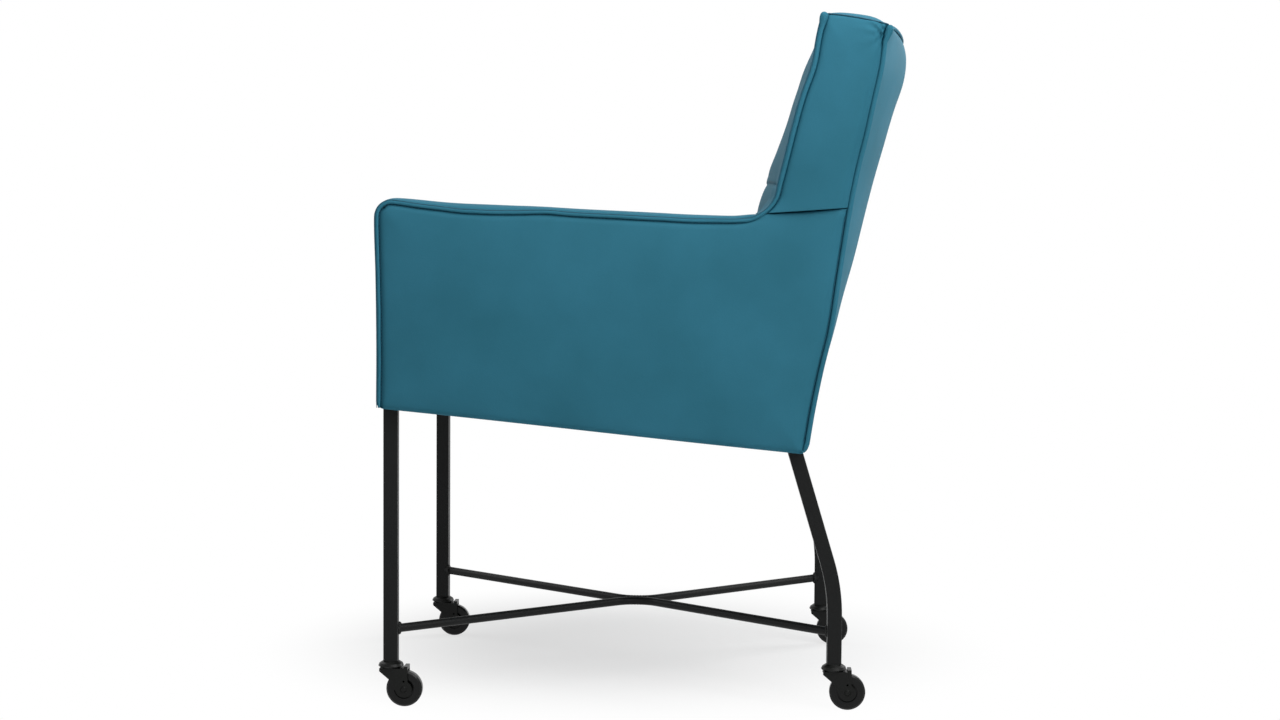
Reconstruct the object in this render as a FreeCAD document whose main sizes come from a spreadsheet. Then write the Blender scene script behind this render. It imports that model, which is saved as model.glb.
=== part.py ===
import FreeCAD, Part
import math
import os
import re
import Sketcher

Vector = FreeCAD.Vector

# Driving sizes in millimetres and degrees: name, value, what it measures
SIZES = [
    ("wheel_diameter", 50, "castor wheel over the tread"),
    ("wheel_width", 18, "castor wheel, hub face to hub face"),
    ("tread_width", 9, "flat running part of the tread"),
    ("tread_depth", 2.5, "rounding of the tread, measured inwards"),
    ("rim_width", 14, "rim at the foot of the tread"),
    ("rim_thickness", 11, "rim, measured inwards"),
    ("web_thickness", 6, "disc between hub and rim"),
    ("hub_diameter", 17, "wheel hub"),
    ("axle_diameter", 6, "axle rivet"),
    ("axle_head_diameter", 9, "axle rivet head"),
    ("axle_head_height", 2, "axle rivet head"),
    ("running_clearance", 0.05, "radial play of a turning fit"),
    ("castor_trail", 19, "axle behind the swivel axis"),
    ("fork_sheet", 2, "pressed sheet of the fork"),
    ("fork_side_gap", 0.5, "wheel hub to fork cheek"),
    ("fork_top_gap", 2, "wheel tread to fork crown"),
    ("fork_front_reach", 15, "crown ahead of the swivel axis"),
    ("fork_rear_reach", 24.5, "crown behind the swivel axis"),
    ("fork_lip_height", 3, "upturned rear end of the crown"),
    ("fork_lip_thickness", 5.5, "upturned rear end of the crown"),
    ("fork_front_drop", 4, "upright front end of the crown"),
    ("fork_nose_run", 13, "slanted nose of the cheek, along"),
    ("fork_nose_drop", 15, "slanted nose of the cheek, below the crown"),
    ("fork_boss_diameter", 23, "round end of the cheek at the axle"),
    ("fork_boss_turn", 45, "where the nose meets the round end, below the axle, in degrees"),
    ("fork_hole_diameter", 3, "small hole above the axle"),
    ("fork_hole_rise", 11, "small hole above the axle"),
    ("race_diameter", 28.8, "swivel race ring"),
    ("race_foot_diameter", 24, "swivel race ring where it sits on the fork"),
    ("race_height", 2.5, "swivel race ring"),
    ("swivel_gap", 0.3, "race to cap, and stem head to fork"),
    ("cap_diameter", 35.4, "domed swivel cap"),
    ("cap_flat_diameter", 22, "flat on top of the cap under the leg"),
    ("cap_shoulder_diameter", 32.4, "where the dome turns down"),
    ("cap_shoulder_drop", 3.5, "dome between flat and shoulder"),
    ("cap_height", 8.6, "swivel cap"),
    ("cap_rim_round", 1.6, "rounding under the rim of the cap"),
    ("cap_lift", 1.4, "cap rim above the fork crown"),
    ("cap_skirt_gap", 0.8, "race to the skirt of the cap"),
    ("stem_diameter", 10, "swivel stem"),
    ("stem_head_diameter", 14, "riveted lower end of the stem"),
    ("stem_head_height", 2.4, "riveted lower end of the stem"),
    ("stem_insert", 24, "stem inside the leg"),
    ("plug_height", 30, "plug in the foot of the leg"),
    ("tube_side", 20, "square leg tube"),
    ("tube_wall", 2, "wall of the leg tube and rails"),
    ("tube_corner", 2, "outer corner radius of the leg tube"),
    ("front_leg_spacing", 530, "between the axes of the front legs"),
    ("rear_leg_spacing", 481, "between the axes of the rear legs"),
    ("wheelbase", 615.5, "front leg axis to rear leg axis"),
    ("front_leg_forward", 351.5, "front leg axis ahead of the origin"),
    ("leg_bend_height", 170, "corner of the rear leg"),
    ("leg_bend_radius", 260, "bend of the rear leg"),
    ("leg_rake", 16.8, "forward lean of the upper rear leg"),
    ("stretcher_diameter", 12, "round stretcher bar"),
    ("stretcher_height", 107.5, "stretcher axis above the floor"),
    ("stretcher_bend_radius", 45, "bend in the middle of a stretcher"),
    ("stretcher_apex", 330, "bend behind the front legs"),
    ("weld_gap", 0.1, "room for the weld bead between butted pieces"),
    ("panel_bottom", 417.3, "lower edge of the shell at the front legs"),
    ("shell_slope", 5.36, "fall of the shell and seat towards the back"),
    ("rail_lift", 4, "rails above the lower edge of the shell"),
    ("front_rail_back", 8, "front cross rail behind the leg axis"),
    ("rear_rail_ahead", 73.5, "rear cross rail ahead of the rear leg foot"),
    ("arm_thickness", 75, "arm, outer face to inner face"),
    ("arm_overhang", 40, "outer face of the arm outside the leg axis"),
    ("arm_front_overhang", 15.5, "arm front ahead of the leg axis"),
    ("arm_front_corner", 24, "upper front corner seen from the side"),
    ("arm_foot_corner", 10, "lower front corner seen from the side"),
    ("arm_height", 704, "crest of the arm at the front legs"),
    ("arm_slope", 2.45, "fall of the arm towards the back"),
    ("arm_crown", 9, "crest of the arm above its seams"),
    ("arm_swell", 2, "fullness of the arm's faces"),
    ("board_thickness", 18, "plywood side board"),
    ("board_inset", 16, "padding over the edge of the side board"),
    ("post_inset", 26, "padding in front of the back post"),
    ("post_drop", 32, "upper end of the back post below the top of the back"),
    ("deck_thickness", 12, "plywood seat deck"),
    ("deck_rear_gap", 70.5, "rear end of the deck ahead of the rear legs' feet"),
    ("cushion_edge", 52, "seat cushion at its edge"),
    ("cushion_crown", 14, "seat cushion above its edge"),
    ("cushion_waist", 3, "draw-in of the cushion's sides"),
    ("cushion_nose", 8, "fall of the cushion's front edge"),
    ("cushion_rear_gap", 52.5, "rear end of the cushion ahead of the back at the arm level"),
    ("soft_gap", 0.4, "room between padded pieces"),
    ("border_thickness", 14, "padded border under the seat front"),
    ("dust_cover_thickness", 1, "cloth under the seat"),
    ("bolt_diameter", 6, "bolt of the seat deck"),
    ("bolt_head_diameter", 11, "bolt of the seat deck"),
    ("bolt_head_height", 3, "bolt of the seat deck"),
    ("bolt_bite", 9, "bolt inside the deck"),
    ("bolt_spread", 300, "between the bolts of one rail"),
    ("back_depth", 103, "back at the arm level, front edge to rear edge"),
    ("back_front_tilt", 15, "lean of the back's front"),
    ("back_overhang", 10.5, "rear edge of the back at the arm level, behind the rear legs' feet"),
    ("back_rear_tilt", 12, "lean of the back's rear above the arms"),
    ("back_skirt_tilt", 9.4, "lean of the back's rear below the arms"),
    ("arm_level", 692, "height at which the back leaves the arms"),
    ("back_height", 957, "front edge of the top of the back"),
    ("back_top_fall", 8.5, "fall of the top of the back to the rear"),
    ("back_foot", 367, "lower edge of the rear of the back"),
    ("pad_foot", 404, "lower end of the lower back pad"),
    ("rear_bulge_top", 42, "fullness of the rear, seen from above, at the top"),
    ("rear_bulge_arm", 36, "fullness of the rear at the arm level"),
    ("rear_bulge_foot", 8, "fullness of the rear at its foot"),
    ("front_crown", 17, "fullness of the back's front at the seam"),
    ("front_crown_top", 2, "fullness of the back's front at the top"),
    ("back_seam_height", 728, "sewn channel across the back's front"),
    ("back_seam_depth", 7, "depth of the sewn channel"),
    ("back_seam_roll", 14, "height of the roll beside the channel"),
    ("back_cover_thickness", 15, "rear pad with the back board"),
    ("back_board_thickness", 5, "curved plywood back board"),
    ("back_board_edge", 14, "padding outside the back board"),
    ("back_board_foot", 27, "padding below the back board, clear of the rear legs"),
    ("top_rail_drop", 77, "underside of the back's top rail below the top of the back"),
    ("top_rail_inset", 33, "padding in front of the top rail, at the edges of the back"),
    ("lower_rail_height", 500, "underside of the back's lower rail"),
    ("lower_rail_inset", 48, "padding in front of the lower rail, at the edges of the back"),
    ("back_rail_depth", 28, "back rails, front to back"),
    ("back_rail_height", 36, "back rails, up and down"),
]

# Heights and slopes that several pieces share, worked out from the sizes
AXLE_HEIGHT = "wheel_diameter / 2"
FORK_UNDER = "(wheel_diameter + fork_top_gap)"
FORK_TOP = f"({FORK_UNDER} + fork_sheet)"
RACE_TOP = f"({FORK_TOP} + race_height)"
CAP_FOOT = f"({FORK_TOP} + cap_lift)"
LEG_FOOT = f"({CAP_FOOT} + cap_height)"
FORK_GAP = "(wheel_width / 2 + fork_side_gap)"
FORK_HALF = f"({FORK_GAP} + fork_sheet)"
SIDE_TAPER = "((front_leg_spacing - rear_leg_spacing) / 2 / wheelbase)"
SIDE_ANGLE = f"atan({SIDE_TAPER})"
SIDE_LENGTH = f"(wheelbase / cos({SIDE_ANGLE}))"
RAIL_TOP = "(panel_bottom + rail_lift + tube_side)"
REAR_LEG_TOP = f"({RAIL_TOP} - tan(shell_slope) * (wheelbase - rear_rail_ahead) + tube_side / 4)"
BACK_REAR = "(wheelbase + back_overhang)"
BACK_FRONT = f"({BACK_REAR} - back_depth)"
POST_TOP = "(back_height - post_drop)"
DECK_REAR = "(wheelbase - deck_rear_gap)"
CUSHION_DEPTH = f"({BACK_FRONT} - cushion_rear_gap + arm_front_overhang)"

NAMES = {name for name, value, meaning in SIZES}
doc = FreeCAD.newDocument("dining_armchair")
sheet = doc.addObject("Spreadsheet::Sheet", "Sizes")
for row, (name, value, meaning) in enumerate(SIZES, 1):
    sheet.set(f"A{row}", meaning)
    sheet.set(f"B{row}", str(value))
    sheet.setAlias(f"B{row}", name)
doc.recompute()
nodes = []


def linked(expression):
    """Points the size names in an expression at the sheet."""
    def link(word):
        return "Sizes." + word[0] if word[0] in NAMES else word[0]
    return re.sub(r"[a-z]\w*", link, expression)


def size(expression):
    """Gives the number that an expression of sizes stands for."""
    result = sheet.evalExpression(linked(expression))
    return float(getattr(result, "Value", result))


def bind(item, path, expression):
    item.setExpression(path, linked(expression))


def place(item, x="0", y="0", z="0", axis=Vector(0, 0, 1), angle="0"):
    """Places an object at an expression of sizes, turned about one axis."""
    item.Placement = FreeCAD.Placement(Vector(), FreeCAD.Rotation(axis, size(angle) or 1))
    for coordinate, expression in zip("xyz", (x, y, z)):
        bind(item, f"Placement.Base.{coordinate}", expression)
    bind(item, "Placement.Rotation.Angle", angle)
    return item


def place_on_side(item, z="0"):
    """Places an object in the frame of the left side: the front leg's axis, with +Y along the side."""
    return place(item, "front_leg_spacing / 2", "-front_leg_forward", z, angle=SIDE_ANGLE)


def place_on_seat(item, drop="0"):
    """Places an object in the frame of the seat: below the top of the rails, +Y down the seat's slope."""
    return place(item, "0", f"-front_leg_forward - ({drop}) * sin(shell_slope)",
                 f"{RAIL_TOP} - ({drop}) * cos(shell_slope)", Vector(1, 0, 0), "-shell_slope")


def keep(item, label):
    """Adds an object to the sub-parts that are written."""
    item.Label = label
    nodes.append(item)
    return item


def body_sketch(body, plane, name):
    sketch = body.newObject("Sketcher::SketchObject", name)
    support = next(item for item in body.Origin.OriginFeatures if item.Role == plane)
    sketch.AttachmentSupport = [(support, "")]
    sketch.MapMode = "FlatFace"
    return sketch


def dimension(sketch, expression, *constraint):
    number = sketch.addConstraint(Sketcher.Constraint(*constraint, size(expression)))
    bind(sketch, f"Constraints[{number}]", expression)


def add_outline(sketch, corners):
    """Draws a closed counter-clockwise outline: corners (x, y), or (x, y, swell) before a swelling arc."""
    first = sketch.GeometryCount
    count = len(corners)
    for index, corner in enumerate(corners):
        following = corners[(index + 1) % count]
        start = Vector(size(corner[0]), size(corner[1]), 0)
        end = Vector(size(following[0]), size(following[1]), 0)
        if len(corner) == 2:
            sketch.addGeometry(Part.LineSegment(start, end))
            continue
        outward = (end - start).cross(Vector(0, 0, 1)).normalize()
        middle = (start + end) / 2 + outward * size(corner[2])
        sketch.addGeometry(Part.Arc(start, middle, end))
    for index, corner in enumerate(corners):
        following = corners[(index + 1) % count]
        edge = first + index
        sketch.addConstraint(Sketcher.Constraint("Coincident", edge, 2, first + (index + 1) % count, 1))
        dimension(sketch, corner[0], "DistanceX", -1, 1, edge, 1)
        dimension(sketch, corner[1], "DistanceY", -1, 1, edge, 1)
        if len(corner) == 3:
            chord = f"(({following[0]}) - ({corner[0]}))^2 + (({following[1]}) - ({corner[1]}))^2"
            dimension(sketch, f"({chord}) / (8 * {corner[2]}) + {corner[2]} / 2", "Radius", edge)
    return sketch


def add_rectangle(sketch, left, right, low, high):
    return add_outline(sketch, [(left, low), (right, low), (right, high), (left, high)])


def add_circle(sketch, x, y, diameter):
    edge = sketch.addGeometry(Part.Circle(Vector(size(x), size(y), 0), Vector(0, 0, 1), size(diameter) / 2))
    dimension(sketch, x, "DistanceX", -1, 1, edge, 3)
    dimension(sketch, y, "DistanceY", -1, 1, edge, 3)
    dimension(sketch, diameter, "Diameter", edge)
    return sketch


def add_rounded_square(sketch, side, radius):
    """Draws a square with round corners about the sketch's origin."""
    half = size(side) / 2
    round_off = size(radius)
    inner = half - round_off
    ends = [(-inner, -half), (inner, -half), (half, -inner), (half, inner),
            (inner, half), (-inner, half), (-half, inner), (-half, -inner)]
    first = sketch.GeometryCount
    for index in range(4):
        start = Vector(*ends[2 * index], 0)
        end = Vector(*ends[2 * index + 1], 0)
        sketch.addGeometry(Part.LineSegment(start, end))
    for index, (x, y) in enumerate([(inner, -inner), (inner, inner), (-inner, inner), (-inner, -inner)]):
        circle = Part.Circle(Vector(x, y, 0), Vector(0, 0, 1), round_off)
        start = (index - 1) * math.pi / 2
        sketch.addGeometry(Part.ArcOfCircle(circle, start, start + math.pi / 2))
    for index in range(4):
        corner = first + 4 + index
        sketch.addConstraint(Sketcher.Constraint("Tangent", first + index, 2, corner, 1))
        sketch.addConstraint(Sketcher.Constraint("Tangent", corner, 2, first + (index + 1) % 4, 1))
        if index:
            sketch.addConstraint(Sketcher.Constraint("Equal", first + 4, corner))
    dimension(sketch, radius, "Radius", first + 4)
    for index, direction in enumerate(["Horizontal", "Vertical", "Horizontal", "Vertical"]):
        sketch.addConstraint(Sketcher.Constraint(direction, first + index))
    dimension(sketch, f"-({side}) / 2", "DistanceY", -1, 1, first, 1)
    dimension(sketch, f"({side}) / 2", "DistanceX", -1, 1, first + 1, 1)
    dimension(sketch, f"({side}) / 2", "DistanceY", -1, 1, first + 2, 1)
    dimension(sketch, f"-({side}) / 2", "DistanceX", -1, 1, first + 3, 1)
    return sketch


def pad(body, sketch, length, middle=False):
    feature = body.newObject("PartDesign::Pad", "Pad")
    feature.Profile = sketch
    bind(feature, "Length", length)
    feature.Midplane = middle
    return feature


def bore_through(body, sketch):
    """Cuts a sketch through the whole body, to both sides."""
    feature = body.newObject("PartDesign::Pocket", "Pocket")
    feature.Profile = sketch
    feature.Type = "ThroughAll"
    feature.Midplane = True
    return feature


def turned(label, profile):
    """Makes a body of revolution about its own Z axis from corners (radius, height)."""
    body = doc.addObject("PartDesign::Body", label)
    sketch = add_outline(body_sketch(body, "XZ_Plane", "Profile"), profile)
    feature = body.newObject("PartDesign::Revolution", "Revolution")
    feature.Profile = sketch
    feature.ReferenceAxis = (sketch, ["V_Axis"])
    feature.Angle = 360
    return body


def block(label, plane, corners, length, middle=False):
    """Makes a body by padding one outline."""
    body = doc.addObject("PartDesign::Body", label)
    pad(body, add_outline(body_sketch(body, plane, "Outline"), corners), length, middle)
    return body


def joined(name, pieces):
    fuse = doc.addObject("Part::MultiFuse", name)
    fuse.Shapes = pieces
    return fuse


def without(label, base, tools):
    """Cuts the tools out of a base."""
    cut = doc.addObject("Part::Cut", label)
    cut.Base = base
    cut.Tool = joined(label + "_tools", tools) if len(tools) > 1 else tools[0]
    return cut


def mirrored(item, label):
    """Makes the right-hand copy of a left-hand object."""
    mirror = doc.addObject("Part::Mirroring", label)
    mirror.Source = item
    mirror.Normal = (1, 0, 0)
    return mirror


def both_sides(item, stem):
    """Keeps a left-hand object and its right-hand copy, and gives both."""
    return [keep(item, stem + "_left"), keep(mirrored(item, stem + "_right"), stem + "_right")]


# Castors: a wheel on a rivet in a pressed fork that swivels under a domed cap on the stem
def castor(corner, side, end):
    x = f"{side} * {end}_leg_spacing / 2"
    y = "-front_leg_forward" if end == "front" else "wheelbase - front_leg_forward"
    plug = doc.addObject("PartDesign::Body", "leg_plug_" + corner)
    bore = "tube_side - 2 * tube_wall"
    plug_sketch = body_sketch(plug, "XY_Plane", "Plug")
    add_rectangle(plug_sketch, f"-({bore}) / 2", f"({bore}) / 2", f"-({bore}) / 2", f"({bore}) / 2")
    add_circle(plug_sketch, "0", "0", "stem_diameter")
    pad(plug, plug_sketch, "plug_height")
    keep(place(plug, x, y, LEG_FOOT, angle=f"{side} * {SIDE_ANGLE}"), "leg_plug_" + corner)

    head_top = f"({FORK_UNDER} - swivel_gap)"
    head_foot = f"({head_top} - stem_head_height)"
    stem_top = f"({LEG_FOOT} + stem_insert)"
    stem = turned("castor_stem_" + corner, [
        ("0", head_foot), ("stem_head_diameter / 2", head_foot), ("stem_head_diameter / 2", head_top),
        ("stem_diameter / 2", head_top), ("stem_diameter / 2", stem_top), ("0", stem_top)])
    keep(place(stem, x, y), "castor_stem_" + corner)

    shoulder = f"({LEG_FOOT} - cap_shoulder_drop)"
    ceiling = f"({RACE_TOP} + swivel_gap)"
    skirt = "(race_diameter / 2 + cap_skirt_gap)"
    cap = turned("swivel_cap_" + corner, [
        ("stem_diameter / 2", ceiling), (skirt, ceiling), (skirt, CAP_FOOT), ("cap_diameter / 2 - cap_rim_round", CAP_FOOT),
        ("cap_diameter / 2", f"{CAP_FOOT} + cap_rim_round"), ("cap_shoulder_diameter / 2", shoulder),
        ("cap_flat_diameter / 2", LEG_FOOT), ("stem_diameter / 2", LEG_FOOT)])
    keep(place(cap, x, y), "swivel_cap_" + corner)

    race_bore = "(stem_diameter / 2 + swivel_gap)"
    race = turned("swivel_race_" + corner, [
        (race_bore, FORK_TOP), ("race_foot_diameter / 2", FORK_TOP), ("race_diameter / 2", RACE_TOP),
        (race_bore, RACE_TOP)])
    keep(place(race, x, y), "swivel_race_" + corner)

    fork = doc.addObject("PartDesign::Body", "castor_fork_" + corner)
    boss = "fork_boss_diameter / 2"
    lip = "fork_rear_reach - fork_lip_thickness"
    cheek = add_outline(body_sketch(fork, "YZ_Plane", "Cheek"), [
        ("fork_rear_reach", AXLE_HEIGHT), ("fork_rear_reach", f"{FORK_TOP} + fork_lip_height"),
        (lip, f"{FORK_TOP} + fork_lip_height"), (lip, FORK_TOP), ("-fork_front_reach", FORK_TOP),
        ("-fork_front_reach", f"{FORK_TOP} - fork_front_drop"),
        ("fork_nose_run - fork_front_reach", f"{FORK_TOP} - fork_nose_drop"),
        (f"castor_trail - {boss} * cos(fork_boss_turn)", f"{AXLE_HEIGHT} - {boss} * sin(fork_boss_turn)")])
    pad(fork, cheek, f"2 * {FORK_HALF}", middle=True)
    round_end = add_circle(body_sketch(fork, "YZ_Plane", "RoundEnd"), "castor_trail", AXLE_HEIGHT,
                           "fork_boss_diameter")
    pad(fork, round_end, f"2 * {FORK_HALF}", middle=True)
    channel = add_rectangle(body_sketch(fork, "XZ_Plane", "Channel"), f"-{FORK_GAP}", FORK_GAP,
                            f"{AXLE_HEIGHT} - fork_boss_diameter", FORK_UNDER)
    bore_through(fork, channel)
    holes = body_sketch(fork, "YZ_Plane", "Holes")
    add_circle(holes, "castor_trail", AXLE_HEIGHT, "axle_diameter")
    add_circle(holes, "castor_trail", f"{AXLE_HEIGHT} + fork_hole_rise", "fork_hole_diameter")
    bore_through(fork, holes)
    bore_through(fork, add_circle(body_sketch(fork, "XY_Plane", "StemHole"), "0", "0",
                                  "stem_diameter + 2 * running_clearance"))
    keep(place(fork, x, y), "castor_fork_" + corner)

    across = dict(x=x, y=f"{y} + castor_trail", z=AXLE_HEIGHT, axis=Vector(0, 1, 0), angle="90")
    head = f"({FORK_HALF} + axle_head_height)"
    half_axle = [("0", head), ("axle_head_diameter / 3", head), ("axle_head_diameter / 2", FORK_HALF),
                 ("axle_diameter / 2", FORK_HALF)]
    other_half = [(radius, "-" + height) for radius, height in half_axle]
    axle = turned("castor_axle_" + corner, other_half + half_axle[::-1])
    keep(place(axle, **across), "castor_axle_" + corner)

    bore_radius = "(axle_diameter / 2 + running_clearance)"
    tread_foot = "(wheel_diameter / 2 - tread_depth)"
    rim_inside = "(wheel_diameter / 2 - rim_thickness)"
    half_wheel = [(bore_radius, "wheel_width / 2"), ("hub_diameter / 2", "wheel_width / 2"),
                  ("hub_diameter / 2", "web_thickness / 2"), (rim_inside, "web_thickness / 2"),
                  (rim_inside, "rim_width / 2"), (tread_foot, "rim_width / 2"),
                  ("wheel_diameter / 2", "tread_width / 2")]
    other_half = [(radius, "-" + height) for radius, height in half_wheel]
    wheel = turned("castor_wheel_" + corner, other_half + half_wheel[::-1])
    keep(place(wheel, **across), "castor_wheel_" + corner)


for corner, side, end in [("front_left", 1, "front"), ("front_right", -1, "front"),
                          ("rear_left", 1, "rear"), ("rear_right", -1, "rear")]:
    castor(corner, side, end)


# Steel frame: square legs, bent at the rear, with rails at the top and two V-bent bars below
def leg_profile(name, rounded):
    """Draws the leg tube's outside or its bore."""
    sketch = doc.addObject("Sketcher::SketchObject", name)
    if rounded:
        return add_rounded_square(sketch, "tube_side", "tube_corner")
    inside = "(tube_side / 2 - tube_wall)"
    return add_rectangle(sketch, f"-{inside}", inside, f"-{inside}", inside)


def front_leg_prism(name, rounded):
    prism = doc.addObject("Part::Extrusion", name)
    prism.Base = leg_profile(name + "_profile", rounded)
    prism.Dir = (0, 0, 1)
    bind(prism, "LengthFwd", f"{RAIL_TOP} - {LEG_FOOT}")
    prism.Solid = True
    return place_on_side(prism, LEG_FOOT)


def rear_leg_path(name):
    """Draws the rear leg's line: upright from the foot, one bend, then leaning forward."""
    path = doc.addObject("Sketcher::SketchObject", name)
    path.Placement = FreeCAD.Placement(Vector(), FreeCAD.Rotation(Vector(1, 1, 1), 120))
    bend_foot = "(leg_bend_height - leg_bend_radius * tan(leg_rake / 2))"
    bend_top = f"({bend_foot} + leg_bend_radius * sin(leg_rake))"
    bend_back = f"({SIDE_LENGTH} - leg_bend_radius * (1 - cos(leg_rake)))"
    top_back = f"({bend_back} - ({REAR_LEG_TOP} - {bend_top}) * tan(leg_rake))"
    stations = [(SIDE_LENGTH, LEG_FOOT), (SIDE_LENGTH, bend_foot), (bend_back, bend_top),
                (top_back, REAR_LEG_TOP)]
    points = [Vector(size(y), size(z), 0) for y, z in stations]
    radius = size("leg_bend_radius")
    centre = points[1] - Vector(radius, 0, 0)
    circle = Part.Circle(centre, Vector(0, 0, 1), radius)
    path.addGeometry(Part.LineSegment(points[0], points[1]))
    path.addGeometry(Part.ArcOfCircle(circle, 0, math.radians(size("leg_rake"))))
    path.addGeometry(Part.LineSegment(points[2], points[3]))
    for edge in range(3):
        dimension(path, stations[edge][0], "DistanceX", -1, 1, edge, 1)
        dimension(path, stations[edge][1], "DistanceY", -1, 1, edge, 1)
    path.addConstraint(Sketcher.Constraint("Coincident", 0, 2, 1, 1))
    path.addConstraint(Sketcher.Constraint("Coincident", 1, 2, 2, 1))
    dimension(path, "leg_bend_radius", "Radius", 1)
    dimension(path, stations[3][0], "DistanceX", -1, 1, 2, 2)
    dimension(path, stations[3][1], "DistanceY", -1, 1, 2, 2)
    return path


def swept(name, profile, path, edges):
    sweep = doc.addObject("Part::Sweep", name)
    sweep.Sections = [profile]
    sweep.Spine = (path, [f"Edge{number + 1}" for number in range(edges)])
    sweep.Solid = True
    return sweep


def rear_leg_tube(name, path, rounded):
    profile = place(leg_profile(name + "_profile", rounded), "0", SIDE_LENGTH, LEG_FOOT)
    return place_on_side(swept(name, profile, path, 3))


front_leg_solid = front_leg_prism("front_leg_solid", True)
front_leg_bore = front_leg_prism("front_leg_bore", False)
both_sides(without("front_leg_left", front_leg_solid, [front_leg_bore]), "front_leg")
rear_path = rear_leg_path("rear_leg_path")
rear_leg_solid = rear_leg_tube("rear_leg_solid", rear_path, True)
rear_leg_bore = rear_leg_tube("rear_leg_bore", rear_path, False)
both_sides(without("rear_leg_left", rear_leg_solid, [rear_leg_bore]), "rear_leg")


def stretcher_path(name):
    """Draws the left bar's line: front leg, round bend beside the middle, rear leg."""
    path = doc.addObject("Sketcher::SketchObject", name)
    place(path, "0", "-front_leg_forward", "stretcher_height")
    centre_x = "stretcher_diameter / 2 + weld_gap / 2 + stretcher_bend_radius"
    centre = Vector(size(centre_x), size("stretcher_apex"), 0)
    radius = size("stretcher_bend_radius")
    ends = [("front_leg_spacing / 2", "0"), ("rear_leg_spacing / 2", "wheelbase")]
    points = [Vector(size(x), size(y), 0) for x, y in ends]
    angles = []
    for point, turn in zip(points, (-1, 1)):
        reach = point - centre
        opening = math.acos(radius / reach.Length)
        angles.append(math.atan2(reach.y, reach.x) + turn * opening)
    front_angle, rear_angle = angles
    touch = [centre + Vector(math.cos(angle), math.sin(angle), 0) * radius for angle in angles]
    path.addGeometry(Part.LineSegment(points[0], touch[0]))
    circle = Part.Circle(centre, Vector(0, 0, 1), radius)
    path.addGeometry(Part.ArcOfCircle(circle, rear_angle, front_angle + 2 * math.pi))
    path.addGeometry(Part.LineSegment(touch[1], points[1]))
    path.addConstraint(Sketcher.Constraint("Tangent", 0, 2, 1, 2))
    path.addConstraint(Sketcher.Constraint("Tangent", 1, 1, 2, 1))
    dimension(path, "stretcher_bend_radius", "Radius", 1)
    dimension(path, centre_x, "DistanceX", -1, 1, 1, 3)
    dimension(path, "stretcher_apex", "DistanceY", -1, 1, 1, 3)
    for (x, y), edge, point in zip(ends, (0, 2), (1, 2)):
        dimension(path, x, "DistanceX", -1, 1, edge, point)
        dimension(path, y, "DistanceY", -1, 1, edge, point)
    return path


bar_path = stretcher_path("stretcher_path")
doc.recompute()
bar_profile = doc.addObject("Sketcher::SketchObject", "stretcher_profile")
add_circle(bar_profile, "0", "0", "stretcher_diameter")
bar_profile.AttachmentSupport = [(bar_path, "Edge1")]
bar_profile.MapMode = "NormalToEdge"
bar = swept("stretcher_bar", bar_profile, bar_path, 3)
both_sides(without("stretcher_left", bar, [front_leg_solid, rear_leg_solid]), "stretcher")


def shell_line(y, rise):
    """The height of a line along the lower edge of the shell, at a distance behind the front legs."""
    return f"panel_bottom + {rise} - tan(shell_slope) * ({y})"


def side_rail():
    front = "tube_side / 2"
    rail_middle = f"({REAR_LEG_TOP} - tube_side / 2)"
    rear = f"({SIDE_LENGTH} - ({rail_middle} - leg_bend_height) * tan(leg_rake))"
    rail = doc.addObject("PartDesign::Body", "side_rail")
    for name, low, width in [("Outside", "rail_lift", "tube_side"),
                             ("Bore", "(rail_lift + tube_wall)", "(tube_side - 2 * tube_wall)")]:
        high = f"({low} + {width})"
        sketch = add_outline(body_sketch(rail, "YZ_Plane", name), [
            (front, shell_line(front, low)), (rear, shell_line(rear, low)),
            (rear, shell_line(rear, high)), (front, shell_line(front, high))])
        if name == "Outside":
            pad(rail, sketch, width, middle=True)
        else:
            bore = rail.newObject("PartDesign::Pocket", "Pocket")
            bore.Profile = sketch
            bind(bore, "Length", width)
            bore.Midplane = True
    return place_on_side(rail)


side_rails = both_sides(without("side_rail_left", side_rail(), [rear_leg_solid]), "side_rail")


def inner_half(y, inset):
    """Half the width between the tapering sides, at an inset from the leg axes."""
    return f"(front_leg_spacing / 2 - {inset} - {SIDE_TAPER} * ({y}))"


def spanning(y_front, y_rear, inset):
    """The outline in plan of a piece that spans the chair between two depths."""
    return [(f"-{inner_half(y_front, inset)}", y_front), (inner_half(y_front, inset), y_front),
            (inner_half(y_rear, inset), y_rear), (f"-{inner_half(y_rear, inset)}", y_rear)]


SEAT_INSET = "(arm_thickness - arm_overhang + arm_swell + soft_gap)"
RAIL_INSET = "(tube_side / 2 + weld_gap)"


def seat_bolts(front_y, rear_y):
    """Four bolts that come up through the cross rails into the deck."""
    bolts = []
    for y in (front_y, rear_y):
        for side in (-1, 1):
            bolt = turned(f"seat_bolt_{len(bolts)}", [
                ("0", "-tube_side - bolt_head_height"),
                ("bolt_head_diameter / 2", "-tube_side - bolt_head_height"),
                ("bolt_head_diameter / 2", "-tube_side"), ("bolt_diameter / 2", "-tube_side"),
                ("bolt_diameter / 2", "bolt_bite"), ("0", "bolt_bite")])
            place(bolt, f"{side} * bolt_spread / 2", y, "0")
            bolts.append(bolt)
    group = doc.addObject("Part::Compound", "seat_bolts")
    group.Links = bolts
    return place_on_seat(group)


def cross_rail(name, y, bolts):
    """A square tube across the chair, on edge with the seat deck's underside."""
    far = f"({y} + tube_side)"
    rail = block(name + "_bar", "XY_Plane", spanning(y, far, RAIL_INSET), "tube_side")
    bore = add_rectangle(body_sketch(rail, "YZ_Plane", "Bore"), f"{y} + tube_wall", f"{far} - tube_wall",
                         "tube_wall", "tube_side - tube_wall")
    bore_through(rail, bore)
    return keep(without(name, place_on_seat(rail, "tube_side"), [bolts]), name)


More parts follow.
